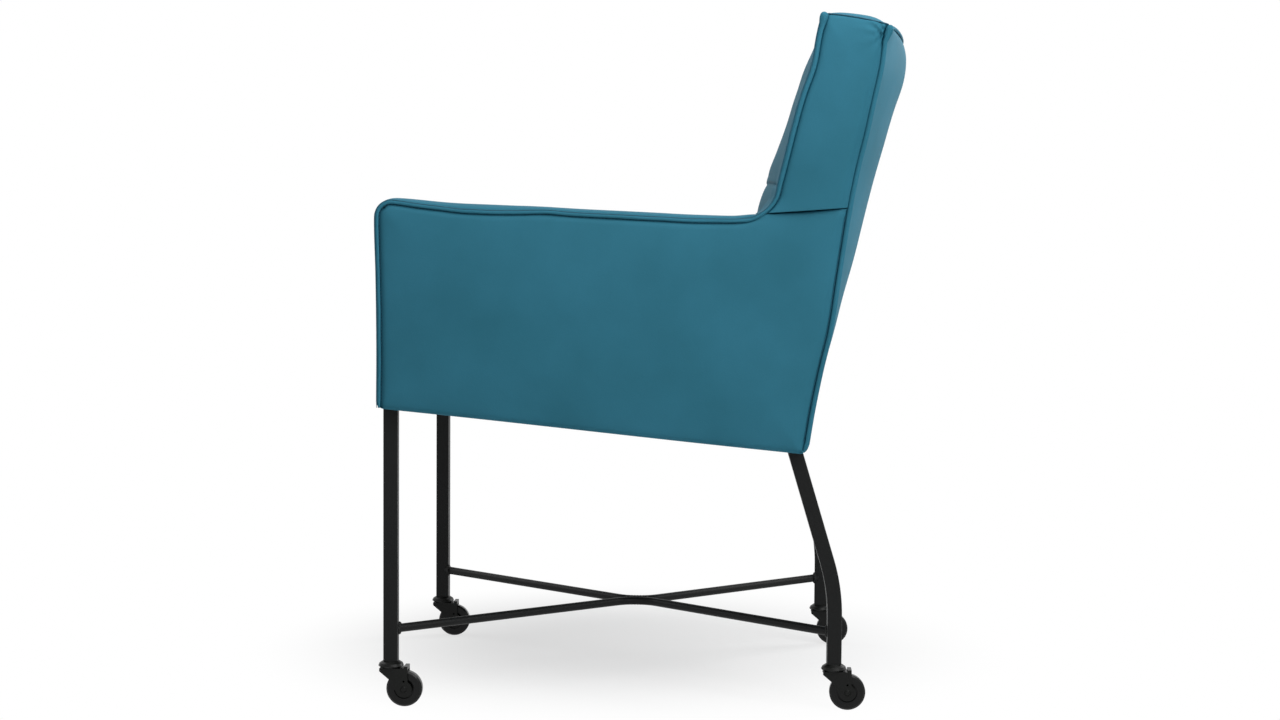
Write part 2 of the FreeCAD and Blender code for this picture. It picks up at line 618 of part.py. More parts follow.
FRONT_RAIL = "front_rail_back"
REAR_RAIL = "(wheelbase - rear_rail_ahead - tube_side)"
bolts = keep(seat_bolts(f"{FRONT_RAIL} + tube_side / 2", f"{REAR_RAIL} + tube_side / 2"), "seat_bolts")
front_rail = cross_rail("front_cross_rail", FRONT_RAIL, bolts)
rear_rail = cross_rail("rear_cross_rail", REAR_RAIL, bolts)
deck_board = block("deck_board", "XY_Plane", spanning("0", DECK_REAR, SEAT_INSET), "deck_thickness")
deck = keep(without("seat_deck", place_on_seat(deck_board), [bolts]), "seat_deck")


# Back: plan outlines, straight at the sides and full at the front and rear, lofted from the foot to the top
def degrees_tan(name):
    return math.tan(math.radians(size(name)))


def back_front(z):
    return size(BACK_FRONT) + degrees_tan("back_front_tilt") * (z - size("arm_level"))


def back_rear(z):
    above = z - size("arm_level")
    tilt = "back_rear_tilt" if above > 0 else "back_skirt_tilt"
    return size(BACK_REAR) + degrees_tan(tilt) * above


def rear_bulge(z):
    arm, foot, top = (size(name) for name in ("arm_level", "back_foot", "back_height"))
    at_arm, at_foot, at_top = (size("rear_bulge_" + name) for name in ("arm", "foot", "top"))
    if z > arm:
        return at_arm + (at_top - at_arm) * (z - arm) / (top - arm)
    return at_foot + (at_arm - at_foot) * ((z - foot) / (arm - foot)) ** 2


def front_crown(z):
    """The front is full at the seam and below, and flattens to its top edge."""
    seam = size("back_seam_height")
    share = max(0, (z - seam) / (size("back_height") - seam))
    return size("front_crown") + (size("front_crown_top") - size("front_crown")) * share ** 2


def outer_half(y, inset=0):
    """Half the width over the outer faces of the sides, less an inset."""
    return size("front_leg_spacing") / 2 + size("arm_overhang") - size(SIDE_TAPER) * y - inset


def plan_wire(z, front, crown, rear, bulge, inset=0):
    """One plan outline: crown points forward at the front, bulge backwards at the rear."""
    forward = size("front_leg_forward")
    front_half = outer_half(front, inset)
    rear_half = outer_half(rear, inset)
    front_left = Vector(-front_half, front - forward, z)
    front_right = Vector(front_half, front - forward, z)
    rear_right = Vector(rear_half, rear - forward, z)
    rear_left = Vector(-rear_half, rear - forward, z)
    front_arc = Part.Arc(front_left, Vector(0, front - crown - forward, z), front_right)
    rear_arc = Part.Arc(rear_right, Vector(0, rear + bulge - forward, z), rear_left)
    return Part.Wire([front_arc.toShape(), Part.LineSegment(front_right, rear_right).toShape(),
                      rear_arc.toShape(), Part.LineSegment(rear_left, front_left).toShape()])


def loft(label, wires):
    """A solid with straight lines from each outline to the next."""
    feature = doc.addObject("Part::Feature", label)
    feature.Shape = Part.makeLoft(wires, True, True)
    return feature


def rolled_edge(run, drop, steps=3):
    """Rounds an edge off: pairs of the distance from the edge and what is taken off there, edge last."""
    angles = [math.pi / 2 * step / steps for step in range(steps + 1)]
    return [(run * (1 - math.sin(angle)), drop * (1 - math.cos(angle))) for angle in angles]


def front_pad_wire(z, draw_in=0):
    """A plan outline of the padding from the front of the back into its rear pad, which trims it."""
    rear = back_rear(z) - size("back_cover_thickness") / 2
    return plan_wire(z, back_front(z) + draw_in, front_crown(z), rear, rear_bulge(z))


def rear_pad_wire(z):
    rear = back_rear(z)
    return plan_wire(z, rear - size("back_cover_thickness"), -rear_bulge(z), rear, rear_bulge(z))


def back_board_wire(z):
    """A plan outline of the back board, which starts ahead of the rear pad and is trimmed by it."""
    face = back_rear(z) - size("back_cover_thickness")
    thickness = size("back_board_thickness")
    bulge = rear_bulge(z)
    return plan_wire(z, face - thickness, -bulge, face + thickness, bulge, size("back_board_edge"))


def between(low, high, steps):
    return [low + (high - low) * step / steps for step in range(steps + 1)]


foot, arm_level, seam_height = size("back_foot"), size("arm_level"), size("back_seam_height")
roll, seam_depth, top_height = size("back_seam_roll"), size("back_seam_depth"), size("back_height")
over_top = top_height + size("back_cover_thickness")
rear_levels = between(foot, arm_level, 6) + between(arm_level, over_top, 2)[1:]
rear_solid = loft("rear_pad_solid", [rear_pad_wire(z) for z in rear_levels])
board_levels = between(foot + size("back_board_foot"), arm_level, 6)
board_levels += between(arm_level, size(POST_TOP), 2)[1:]
back_board = doc.addObject("Part::Common", "back_board")
back_board.Base = loft("back_board_solid", [back_board_wire(z) for z in board_levels])
back_board.Tool = rear_solid
keep(back_board, "back_board")

seam_rows = rolled_edge(roll, seam_depth)
lower_wires = [front_pad_wire(z) for z in between(size("pad_foot"), seam_height - roll, 3)]
lower_wires += [front_pad_wire(seam_height - away, draw_in) for away, draw_in in seam_rows[1:]]
lower_solid = loft("lower_pad_solid", lower_wires)
upper_wires = [front_pad_wire(seam_height + away, draw_in) for away, draw_in in seam_rows[:0:-1]]
upper_wires += [front_pad_wire(z) for z in between(seam_height + roll, over_top, 5)]
upper_solid = loft("upper_pad_solid", upper_wires)

top_trim = doc.addObject("Part::Box", "top_trim")
bind(top_trim, "Length", "2 * front_leg_spacing")
bind(top_trim, "Width", "wheelbase")
bind(top_trim, "Height", "back_height")
TOP_EDGE = f"{BACK_FRONT} + tan(back_front_tilt) * (back_height - arm_level)"
TRIM_AHEAD = "wheelbase / 4"
place(top_trim, "-front_leg_spacing", f"{TOP_EDGE} - front_leg_forward - {TRIM_AHEAD} * cos(back_top_fall)",
      f"back_height + {TRIM_AHEAD} * sin(back_top_fall)", Vector(1, 0, 0), "-back_top_fall")


# Side boards: plywood cut to the arm's outline with the back post in one piece
def side_board():
    arm_top = "(arm_height - arm_crown - board_inset)"
    top_slope = "tan(arm_slope)"
    post_foot = f"({arm_top} - {top_slope} * {BACK_FRONT})"
    post_lean = "tan(back_front_tilt)"
    post_face = f"({BACK_FRONT} + post_inset + {post_lean} * ({post_foot} - arm_level))"
    post_face_top = f"({BACK_FRONT} + post_inset + {post_lean} * ({POST_TOP} - arm_level))"
    rear = f"({BACK_REAR} - back_cover_thickness / 2)"
    rear_top = f"({rear} + tan(back_rear_tilt) * ({POST_TOP} - arm_level))"
    foot_height = shell_line(BACK_REAR, "(rail_lift + tube_side)")
    rear_foot = f"({rear} + tan(back_skirt_tilt) * ({foot_height} - arm_level))"
    front = "(board_inset - arm_front_overhang)"
    return place_on_side(block("side_board", "YZ_Plane", [
        (front, shell_line(front, "(rail_lift + tube_side)")),
        (rear_foot, shell_line(rear_foot, "(rail_lift + tube_side)")),
        (rear, "arm_level"), (rear_top, POST_TOP), (post_face_top, POST_TOP), (post_face, post_foot),
        (front, f"{arm_top} - {top_slope} * {front}")], "board_thickness", middle=True))


board_blank = without("side_board_left", side_board(), [rear_solid, front_leg_solid, rear_leg_solid])
side_boards = both_sides(board_blank, "side_board")


def back_rail(name, height, inset):
    """A wooden rail across the back, between the two side boards."""
    y = f"({BACK_FRONT} + tan(back_front_tilt) * ({height} - arm_level) + {inset})"
    far = f"({y} + back_rail_depth)"
    rail = block(name, "XY_Plane", spanning(y, far, "(board_thickness / 2 + weld_gap)"), "back_rail_height")
    return keep(place(rail, "0", "-front_leg_forward", height), name)


top_rail = back_rail("back_top_rail", "(back_height - top_rail_drop)", "top_rail_inset")
lower_rail = back_rail("back_lower_rail", "lower_rail_height", "lower_rail_inset")


# Arms: the side outline crossed with a section that is full on both faces and crowned on top
def arm_outline():
    front = "-arm_front_overhang"
    over = "arm_crown / 10"
    rear = f"({BACK_REAR} - back_cover_thickness / 3)"
    rear_low = f"({rear} - tan(back_skirt_tilt) * (arm_level - back_foot))"
    rear_high = f"({rear} + tan(back_skirt_tilt) * (arm_height - arm_level))"
    body = block("arm_outline", "YZ_Plane", [
        (front, shell_line(front, "0")), (rear_low, shell_line(rear_low, "0")),
        (rear_high, f"arm_height + {over} - tan(arm_slope) * {rear_high}"),
        (front, f"arm_height + {over} - tan(arm_slope) * ({front})")], "4 * arm_thickness", middle=True)
    doc.recompute()
    middle = (size("arm_height") + size("panel_bottom")) / 2
    corners = [("UpperCorner", "arm_front_corner", True), ("LowerCorner", "arm_foot_corner", False)]
    for name, radius, upper in corners:
        corner = body.newObject("PartDesign::Fillet", name)
        base = body.Tip if body.Tip != corner else corner.BaseFeature
        edges = [f"Edge{number}" for number, edge in enumerate(base.Shape.Edges, 1)
                 if edge.BoundBox.XLength > size("arm_thickness")
                 and edge.BoundBox.YMax < -size("arm_front_overhang") + 1
                 and (edge.BoundBox.ZMin > middle) == upper]
        corner.Base = (base, edges)
        bind(corner, "Radius", radius)
        body.Tip = corner
        doc.recompute()
    return place_on_side(body)


def arm_section():
    """The section of the arm, drawn out along its slope."""
    outer = "arm_overhang"
    inner = "(arm_overhang - arm_thickness)"
    low = "back_foot / 2"
    high = "(arm_height - arm_crown)"
    sketch = doc.addObject("Sketcher::SketchObject", "arm_section_outline")
    sketch.Placement = FreeCAD.Placement(Vector(), FreeCAD.Rotation(Vector(1, 0, 0), 90))
    add_outline(sketch, [(inner, low), (outer, low, "arm_swell"), (outer, high, "arm_crown"),
                         (inner, high, "arm_swell")])
    section = doc.addObject("Part::Extrusion", "arm_section")
    section.Base = sketch
    section.DirMode = "Custom"
    section.Dir = (0, 1, 0)
    bind(section, "Dir.z", "-tan(arm_slope)")
    bind(section, "LengthFwd", "4 * wheelbase")
    section.Symmetric = True
    section.Solid = True
    return place_on_side(section)


arm_solid = doc.addObject("Part::Common", "arm_solid")
arm_solid.Base = arm_outline()
arm_solid.Tool = arm_section()
arm_core = [side_boards[0], side_rails[0], front_leg_solid, rear_leg_solid, front_rail, rear_rail,
            lower_rail, rear_solid]
both_sides(without("arm_left", arm_solid, arm_core), "arm")


# Seat: a crowned cushion on the deck, a border under its front edge and a cloth below
def cushion_wire(y, edge, crown):
    """One outline across the cushion, in the frame of the seat."""
    half = size(inner_half(str(y), SEAT_INSET))
    low = size("deck_thickness")
    waist = half - size("cushion_waist")
    middle = low + edge / 2
    right_low, right_high = Vector(half, y, low), Vector(half, y, low + edge)
    left_low, left_high = Vector(-half, y, low), Vector(-half, y, low + edge)
    return Part.Wire([
        Part.LineSegment(left_low, right_low).toShape(),
        Part.Arc(right_low, Vector(waist, y, middle), right_high).toShape(),
        Part.Arc(right_high, Vector(0, y, low + edge + crown), left_high).toShape(),
        Part.Arc(left_high, Vector(-waist, y, middle), left_low).toShape()])


def seat_cushion():
    edge, crown, nose = (size("cushion_" + name) for name in ("edge", "crown", "nose"))
    depth = size(CUSHION_DEPTH)
    front = -size("arm_front_overhang")
    rows = [(front + away, edge - drop, crown / 2) for away, drop in rolled_edge(2 * nose, nose)[::-1]]
    rows += [(front + depth * share, edge, crown * (0.5 + 0.5 * math.sin(math.pi * share)))
             for share in (0.2, 0.4, 0.6, 0.8, 1)]
    return place_on_seat(loft("seat_cushion", [cushion_wire(*row) for row in rows]))


cushion = keep(seat_cushion(), "seat_cushion")
border_front = "-arm_front_overhang"
border_rear = "(border_thickness - arm_front_overhang)"
border = block("seat_front_border", "XY_Plane", spanning(border_front, border_rear, SEAT_INSET),
               "rail_lift + tube_side + deck_thickness")
place_on_seat(border, "rail_lift + tube_side")
keep(border, "seat_front_border")
dust_cover = block("dust_cover", "XY_Plane", spanning(border_rear, DECK_REAR, SEAT_INSET),
                   "dust_cover_thickness")
keep(place_on_seat(dust_cover, "rail_lift + tube_side"), "dust_cover")

# Back pads, trimmed by the pieces that they wrap
arm_solids = [arm_solid, mirrored(arm_solid, "arm_solid_right")]
lower_core = arm_solids + side_boards + [lower_rail, deck, bolts, cushion, rear_rail, rear_solid]
keep(without("back_pad_lower", lower_solid, lower_core), "back_pad_lower")
upper_core = side_boards + [top_rail, rear_solid, top_trim]
keep(without("back_pad_upper", upper_solid, upper_core), "back_pad_upper")
rear_leg_solids = [rear_leg_solid, mirrored(rear_leg_solid, "rear_leg_solid_right")]
keep(without("back_pad_rear", rear_solid, rear_leg_solids + [back_board, top_trim]), "back_pad_rear")

doc.recompute()
for item in doc.Objects:
    if {"Invalid", "Error"} & set(item.State):
        raise RuntimeError(f"{item.Label} failed: {item.State}")
for item in nodes:
    if item.Shape.isNull() or not item.Shape.isValid() or not item.Shape.Solids:
        raise RuntimeError(f"{item.Label} has no valid solid")
os.makedirs("parts", exist_ok=True)
for item in nodes:
    item.Shape.exportStep(f"parts/{item.Label}.step")
print(len(nodes), "sub-parts written")
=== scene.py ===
import math
from bisect import bisect

import bmesh
import bpy
from mathutils import Matrix, Vector, noise


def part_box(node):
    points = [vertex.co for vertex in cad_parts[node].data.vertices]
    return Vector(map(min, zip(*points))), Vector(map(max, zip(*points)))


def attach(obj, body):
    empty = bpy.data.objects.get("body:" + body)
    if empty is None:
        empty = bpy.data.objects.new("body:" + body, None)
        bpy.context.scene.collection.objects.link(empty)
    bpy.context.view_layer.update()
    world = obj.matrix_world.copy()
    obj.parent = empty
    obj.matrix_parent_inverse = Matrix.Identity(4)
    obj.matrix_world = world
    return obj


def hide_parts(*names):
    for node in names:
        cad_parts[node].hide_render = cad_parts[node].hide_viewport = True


bl_info = {
    "name": "Dining armchair",
    "version": (1, 0, 0),
    "blender": (4, 5, 0),
    "location": "3D View > Sidebar > Armchair",
    "description": "Upholsters and paints the dining armchair on its steel frame and sets it in a studio",
    "category": "Object",
}

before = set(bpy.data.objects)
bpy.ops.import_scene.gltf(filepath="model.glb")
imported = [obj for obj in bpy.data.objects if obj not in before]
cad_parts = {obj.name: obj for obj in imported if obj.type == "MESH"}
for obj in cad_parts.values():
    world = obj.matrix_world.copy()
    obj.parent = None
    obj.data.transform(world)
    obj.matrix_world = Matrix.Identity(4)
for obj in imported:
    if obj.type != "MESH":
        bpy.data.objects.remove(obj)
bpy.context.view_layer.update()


def middle(node):
    """The middle of a node's box."""
    low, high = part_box(node)
    return (low + high) / 2


# The left side's plane, from the feet of the legs. Depths are measured back from the front legs' axis.
FRONT_FOOT = middle("leg_plug_front_left")
REAR_FOOT = middle("leg_plug_rear_left")
SIDE_TAPER = (FRONT_FOOT.x - REAR_FOOT.x) / (REAR_FOOT.y - FRONT_FOOT.y)


def smooth_line(*points):
    """A smooth function through a few (place, value) points, straight beyond both ends."""
    places = [place for place, value in points]
    values = [value for place, value in points]
    last = len(points) - 1
    slopes = []
    for index in range(last + 1):
        before, after = max(index - 1, 0), min(index + 1, last)
        slopes.append((values[after] - values[before]) / (places[after] - places[before]))

    def value(place):
        if place <= places[0]:
            return values[0] + slopes[0] * (place - places[0])
        if place >= places[last]:
            return values[last] + slopes[last] * (place - places[last])
        index = bisect(places, place) - 1
        span = places[index + 1] - places[index]
        t = (place - places[index]) / span
        rise = values[index + 1] - values[index]
        start, end = slopes[index] * span, slopes[index + 1] * span
        return values[index] + t * (start + t * (3 * rise - 2 * start - end + t * (start + end - 2 * rise)))
    return value


# Sewing lines of the cover, in metres: the height or depth at which each one was measured comes first
front_edge = smooth_line((0.420, -0.0150), (0.505, -0.0146), (0.600, -0.0158), (0.675, -0.0178), (0.705, -0.0160))
arm_seam = smooth_line((-0.020, 0.6998), (0.010, 0.6987), (0.042, 0.6943), (0.068, 0.6913), (0.100, 0.6876),
                       (0.140, 0.6861), (0.170, 0.6859), (0.212, 0.6868), (0.256, 0.6840), (0.317, 0.6812),
                       (0.369, 0.6789), (0.410, 0.6771), (0.480, 0.6766))
arm_crown = smooth_line((-0.016, 0.0006), (0.010, 0.0023), (0.042, 0.0044), (0.068, 0.0049), (0.100, 0.0066),
                        (0.140, 0.0068), (0.180, 0.0055), (0.212, 0.0037), (0.260, 0.0041), (0.400, 0.0043),
                        (0.480, 0.0030))
plain_seam = smooth_line((0.475, 0.6840), (0.526, 0.6876), (0.632, 0.6955))
back_front = smooth_line((0.430, 0.4528), (0.600, 0.4995), (0.692, 0.5240), (0.728, 0.5334), (0.804, 0.5519),
                         (0.847, 0.5633), (0.885, 0.5768), (0.920, 0.5828), (0.960, 0.5909))
wing_front = smooth_line((0.6766, 0.4830), (0.6781, 0.4926), (0.6828, 0.5034), (0.6917, 0.5160), (0.7000, 0.5236),
                         (0.7090, 0.5290), (0.7280, 0.5334))
back_crown = smooth_line((0.430, 0.0170), (0.735, 0.0182), (0.780, 0.0111), (0.830, 0.0060), (0.862, 0.0069),
                         (0.890, 0.0083), (0.904, 0.0083), (0.920, 0.0046), (0.957, -0.0045))
# The right front edge runs straight on to its upper corner, where the left one bends forward
straight_edge = smooth_line((0.860, 0.0000), (0.885, 0.0004), (0.919, 0.0050), (0.944, 0.0092), (0.957, 0.0118))
back_rear = smooth_line((0.367, 0.5725), (0.420, 0.5808), (0.475, 0.5915), (0.530, 0.6040), (0.600, 0.6140),
                        (0.691, 0.6275), (0.744, 0.6373), (0.794, 0.6492), (0.839, 0.6586), (0.885, 0.6685),
                        (0.920, 0.6732), (0.943, 0.6808))
rear_bulge = smooth_line((0.367, 0.0055), (0.430, 0.0065), (0.500, 0.0100), (0.560, 0.0155), (0.620, 0.0250),
                         (0.680, 0.0308), (0.740, 0.0349), (0.810, 0.0379), (0.850, 0.0412), (0.885, 0.0458),
                         (0.920, 0.0448), (0.943, 0.0318))


def millimetres(name, value, meaning):
    """A length property that is written in millimetres."""
    return bpy.props.FloatProperty(name=name, description=meaning, default=value / 1000, unit="LENGTH", precision=4)


def degrees(name, value, meaning):
    """An angle property that is written in degrees."""
    return bpy.props.FloatProperty(name=name, description=meaning, default=math.radians(value), subtype="ANGLE")


def number(name, value, meaning, unit="NONE"):
    return bpy.props.FloatProperty(name=name, description=meaning, default=value, unit=unit)


def hex_colour(name, value, meaning):
    return bpy.props.StringProperty(name=name, description=meaning, default=value)


class CoverSizes(bpy.types.PropertyGroup):
    """Sizes of the leather cover."""
    overhang: millimetres("Overhang", 40, "Outer face of the arm outside the axis of the legs")
    arm_thickness: millimetres("Arm thickness", 75, "Arm from its outer face to its inner face")
    arm_corner: millimetres("Arm corner", 24, "Upper front corner of the arm, seen from the side")
    foot_corner: millimetres("Foot corner", 10, "Lower corners of the arm, seen from the side")
    panel_foot: millimetres("Panel foot", 416.3, "Lower edge of the arm at the front legs")
    edge_roll: millimetres("Edge roll", 6, "Rounding of the padding beside a welt")
    panel_swell: millimetres("Panel swell", 8, "Fullness of a side panel inside its seams")
    welt: millimetres("Welt", 5.2, "Thickness of a welt")
    rear_welt: millimetres("Rear welt", 7.2, "Thickness of the welt down a rear edge")
    welt_inset: millimetres("Welt inset", 4.5, "Middle of the welt inside the edge of its panel")
    groove: millimetres("Groove", 3.8, "Depth to which a seam pulls the padding in")
    puff: millimetres("Puff", 2.5, "Most that the padding swells between its seams")
    seam_height: millimetres("Seam height", 728, "Sewn channel across the front of the back")
    seam_depth: millimetres("Seam depth", 2.0, "Depth of the sewn channel")
    top_front: millimetres("Top front", 957, "Front edge of the top of the back")
    top_rear: millimetres("Top rear", 943, "Rear edge of the top of the back")
    top_crown: millimetres("Top crown", 13.2, "Fullness of the top of the back")
    rear_foot: millimetres("Rear foot", 367, "Lower edge of the rear of the back")
    seat_edge: millimetres("Seat edge", 52, "Seat cushion at its edge")
    seat_crown: millimetres("Seat crown", 16, "Seat cushion above its edge")
    thread: millimetres("Thread", 0.9, "Thickness of a stitch")
    stitch: millimetres("Stitch", 3.4, "Length of a stitch")
    stitch_pitch: millimetres("Stitch pitch", 4.6, "From one stitch to the next")
    border_height: millimetres("Border", 35, "Border below the seat cushion")
    shell_slope: degrees("Shell slope", 5.5, "Fall of the seat towards the back")


class WeldSizes(bpy.types.PropertyGroup):
    """Sizes of the stretchers that their weld beads follow."""
    bar: millimetres("Bar", 12, "Stretcher bar")
    bend: millimetres("Bend", 45, "Bend in the middle of a stretcher")
    apex: millimetres("Apex", 330, "Bend behind the front legs")
    leg: millimetres("Leg", 20, "Square leg tube")
    bead: millimetres("Bead", 4.6, "Thickness of a weld bead")


class Finishes(bpy.types.PropertyGroup):
    """Colours, as sRGB hex values."""
    leather: hex_colour("Leather", "#337085", "Dyed leather")
    leather_dark: hex_colour("Leather, dark", "#2C6577", "Leather in its pores")
    # Seam is painted shade: the colour that ambient occlusion mixes into the leather in its seams and creases
    seam: hex_colour("Seam", "#0F4558", "Leather in the depth of a seam")
    thread: hex_colour("Thread", "#1F5468", "Sewing thread")
    paint: hex_colour("Paint", "#131414", "Powder coat of the frame")
    lacquer: hex_colour("Lacquer", "#121312", "Pressed castor steel")
    polyamide: hex_colour("Polyamide", "#0F1010", "Castor wheels")
    floor: hex_colour("Floor", "#E2E2E2", "Studio floor")


class StudioSetup(bpy.types.PropertyGroup):
    """The camera's place and the lamps."""
    eye: bpy.props.FloatVectorProperty(name="Eye", description="Where the camera stands", subtype="TRANSLATION",
                                       default=(3.2037, 0.1238, 0.6617))
    yaw: degrees("Yaw", 2.562, "Camera turned from the chair's side")
    pitch: degrees("Pitch", 3.424, "Camera tilted down")
    roll: degrees("Roll", -0.4125, "Camera rolled")
    lens: number("Lens", 60.34, "Focal length in mm on a 36 mm sensor", unit="CAMERA")
    key_power: number("Key", 39, "Overhead softbox", unit="POWER")
    fill_power: number("Fill", 23, "Softbox beside the camera", unit="POWER")
    rim_power: number("Rim", 46, "Softbox behind the chair", unit="POWER")
    front_power: number("Front", 18, "Softbox before the chair", unit="POWER")
    ambient: number("Ambient", 0.11, "Light from the white room")


def cover():
    return bpy.context.scene.armchair_cover


def finishes():
    return bpy.context.scene.armchair_finishes


# Colours and materials
def linear(hex_value):
    """Turns an sRGB hex colour to linear light, with alpha."""
    channels = [int(hex_value[place:place + 2], 16) / 255 for place in (1, 3, 5)]
    return [c / 12.92 if c <= 0.04045 else ((c + 0.055) / 1.055) ** 2.4 for c in channels] + [1]


def per_metre(size_mm):
    """The scale of a pattern whose grains are this size in millimetres."""
    return 1000 / size_mm


def add_node(material, kind, settings, links=()):
    """Adds a node, with settings by property or socket and links as (socket, source) pairs."""
    node = material.node_tree.nodes.new(kind)
    for name, value in settings.items():
        if isinstance(name, int) or name in node.inputs:
            node.inputs[name].default_value = value
        else:
            setattr(node, name, value)
    for socket, source in links:
        material.node_tree.links.new(source, node.inputs[socket])
    return node


def socket_name(key):
    """The name of a shader's socket, from a Python name."""
    return key.replace("_", " ").title().replace("Ior", "IOR")


def new_material(name, **shader):
    """A material with its shader's even settings; gives it with its Object coordinates."""
    material = bpy.data.materials.new(name)
    material.use_nodes = True
    for key, value in shader.items():
        material.node_tree.nodes["Principled BSDF"].inputs[socket_name(key)].default_value = value
    return material, add_node(material, "ShaderNodeTexCoord", {}).outputs["Object"]


def wire(material, **sources):
    """Links outputs to the sockets of a material's shader."""
    for key, source in sources.items():
        socket = material.node_tree.nodes["Principled BSDF"].inputs[socket_name(key)]
        material.node_tree.links.new(source, socket)


def noise_of(material, place, size_mm, detail=2.0, **more):
    """A noise pattern with grains of this size."""
    settings = {"Scale": per_metre(size_mm), "Detail": detail, **more}
    return add_node(material, "ShaderNodeTexNoise", settings, [("Vector", place)]).outputs["Fac"]


def ranged(material, value, **limits):
    """A value taken from one range to another."""
    settings = {socket_name(key): limit for key, limit in limits.items()}
    return add_node(material, "ShaderNodeMapRange", settings, [("Value", value)]).outputs[0]


def mixed(material, share, low, high):
    """A mix of two colours, each a hex value or an output."""
    node = add_node(material, "ShaderNodeMix", {"data_type": "RGBA"}, [(0, share)])
    for socket, colour in ((node.inputs[6], low), (node.inputs[7], high)):
        if isinstance(colour, str):
            socket.default_value = linear(colour)
        else:
            material.node_tree.links.new(colour, socket)
    return node.outputs[2]


def bumped(material, height, strength, distance, links=()):
    settings = {"Strength": strength, "Distance": distance}
    return add_node(material, "ShaderNodeBump", settings, [("Height", height), *links]).outputs[0]


def leather_finish():
    """Full-grain upholstery leather, dyed and sealed: fine pebbles, a soft sheen and slow shifts of tone."""
    material, place = new_material("dyed_leather", ior=1.46, specular_ior_level=0.03)
    colours = finishes()
    tone = noise_of(material, place, 140, detail=3.0)
    pores = noise_of(material, place, 1.1)
    # Real pebbles are about 0.8 mm across and are drawn twice as coarse, so that they show
    pebbles = add_node(material, "ShaderNodeTexVoronoi", {"Scale": per_metre(1.6), "feature": "SMOOTH_F1",
                                                          "Smoothness": 0.6}, [("Vector", place)])
    shade = add_node(material, "ShaderNodeMath", {"operation": "MULTIPLY_ADD", 1: 0.35}, [(0, pores), (2, tone)])
    dyed = mixed(material, ranged(material, shade.outputs[0], from_min=0.45, from_max=0.95),
                 colours.leather_dark, colours.leather)
    # Painted shade: an ambient occlusion node darkens the leather towards the seam colour in seams, creases and
    # beside the welts, where shade falls
    painted_seam_shade = add_node(material, "ShaderNodeAmbientOcclusion", {"samples": 8, "Distance": 0.007})
    opening = ranged(material, painted_seam_shade.outputs["AO"], from_min=0.35, from_max=0.85)
    soft = bumped(material, noise_of(material, place, 38), 0.25, 0.002)
    wire(material, base_color=mixed(material, opening, colours.seam, dyed),
         roughness=ranged(material, pores, to_min=0.48, to_max=0.62),
         normal=bumped(material, pebbles.outputs["Distance"], 0.16, 0.0004, [("Normal", soft)]))
    return material


def coated_metal(name, colour, roughness, peel_mm, depth):
    """Black coating on steel: the sprayed or stoved film gives a fine orange peel and an uneven gloss."""
    material, place = new_material(name, base_color=linear(colour), ior=1.5, specular_ior_level=0.14)
    wear = noise_of(material, place, 45, detail=4.0)
    wire(material, roughness=ranged(material, wear, to_min=roughness - 0.07, to_max=roughness + 0.07),
         normal=bumped(material, noise_of(material, place, peel_mm), 0.25, depth))
    return material


def moulded_polyamide():
    """Injection-moulded black polyamide: glossy, with faint flow marks."""
    material, place = new_material("moulded_polyamide", base_color=linear(finishes().polyamide), ior=1.53,
                                   specular_ior_level=0.16)
    flow = noise_of(material, place, 9, detail=3.0, Distortion=0.8)
    wire(material, roughness=ranged(material, flow, to_min=0.16, to_max=0.32),
         normal=bumped(material, flow, 0.1, 0.0002))
    return material


def wood_finish(name, light, dark, grain_mm, roughness):
    """Bare wood inside the cover: long fibres along the piece, in bands of earlier and later growth."""
    material, place = new_material(name, roughness=roughness)
    stretch = add_node(material, "ShaderNodeMapping", {"Scale": (1, 0.08, 1)}, [("Vector", place)])
    fibres = noise_of(material, stretch.outputs[0], grain_mm, detail=5.0)
    wire(material, base_color=mixed(material, fibres, dark, light), normal=bumped(material, fibres, 0.2, 0.0004))
    return material


def spun_cloth():
    """Spun-bonded black cloth under the seat: a mat of short fibres with a dull face."""
    material, place = new_material("spun_cloth", roughness=0.95)
    cells = add_node(material, "ShaderNodeTexVoronoi", {"Scale": per_metre(1.8)}, [("Vector", place)])
    fibres = cells.outputs["Distance"]
    wire(material, base_color=mixed(material, fibres, "#1C1C1C", "#2A2A2A"),
         normal=bumped(material, fibres, 0.3, 0.0003))
    return material


def sewing_thread():
    """Twisted polyester thread: matt, with the fine ridges of its twist."""
    material, place = new_material("sewing_thread", base_color=linear(finishes().thread), roughness=0.75)
    twist = add_node(material, "ShaderNodeTexWave", {"Scale": per_metre(1.2), "Distortion": 1.5}, [("Vector", place)])
    wire(material, normal=bumped(material, twist.outputs["Fac"], 0.4, 0.0002))
    return material


def zinc_plate():
    """Bright zinc on the hidden bolts: a pale, slightly mottled metal."""
    material, place = new_material("zinc_plate", base_color=linear("#C6C8C9"), metallic=1.0)
    wire(material, roughness=ranged(material, noise_of(material, place, 3), to_min=0.28, to_max=0.42))
    return material


def finish_of(name):
    """The material of this name, made when it is first asked for."""
    made = bpy.data.materials.get(name)
    if made:
        return made
    makers = {
        "dyed_leather": leather_finish,
        "powder_coat": lambda: coated_metal("powder_coat", finishes().paint, 0.44, 1.6, 0.0003),
        "castor_lacquer": lambda: coated_metal("castor_lacquer", finishes().lacquer, 0.34, 1.2, 0.0002),
        "moulded_polyamide": moulded_polyamide,
        "moulded_nylon": lambda: coated_metal("moulded_nylon", "#1B1B1B", 0.5, 2.0, 0.0002),
        "birch_plywood": lambda: wood_finish("birch_plywood", "#CDAE84", "#A8855A", 5, 0.6),
        "planed_beech": lambda: wood_finish("planed_beech", "#C99F74", "#A87A50", 3, 0.55),
        "spun_cloth": spun_cloth,
        "sewing_thread": sewing_thread,
        "zinc_plate": zinc_plate,
    }
    return makers[name]()


# Modelling helpers
def deselect():
    bpy.ops.object.select_all(action="DESELECT")


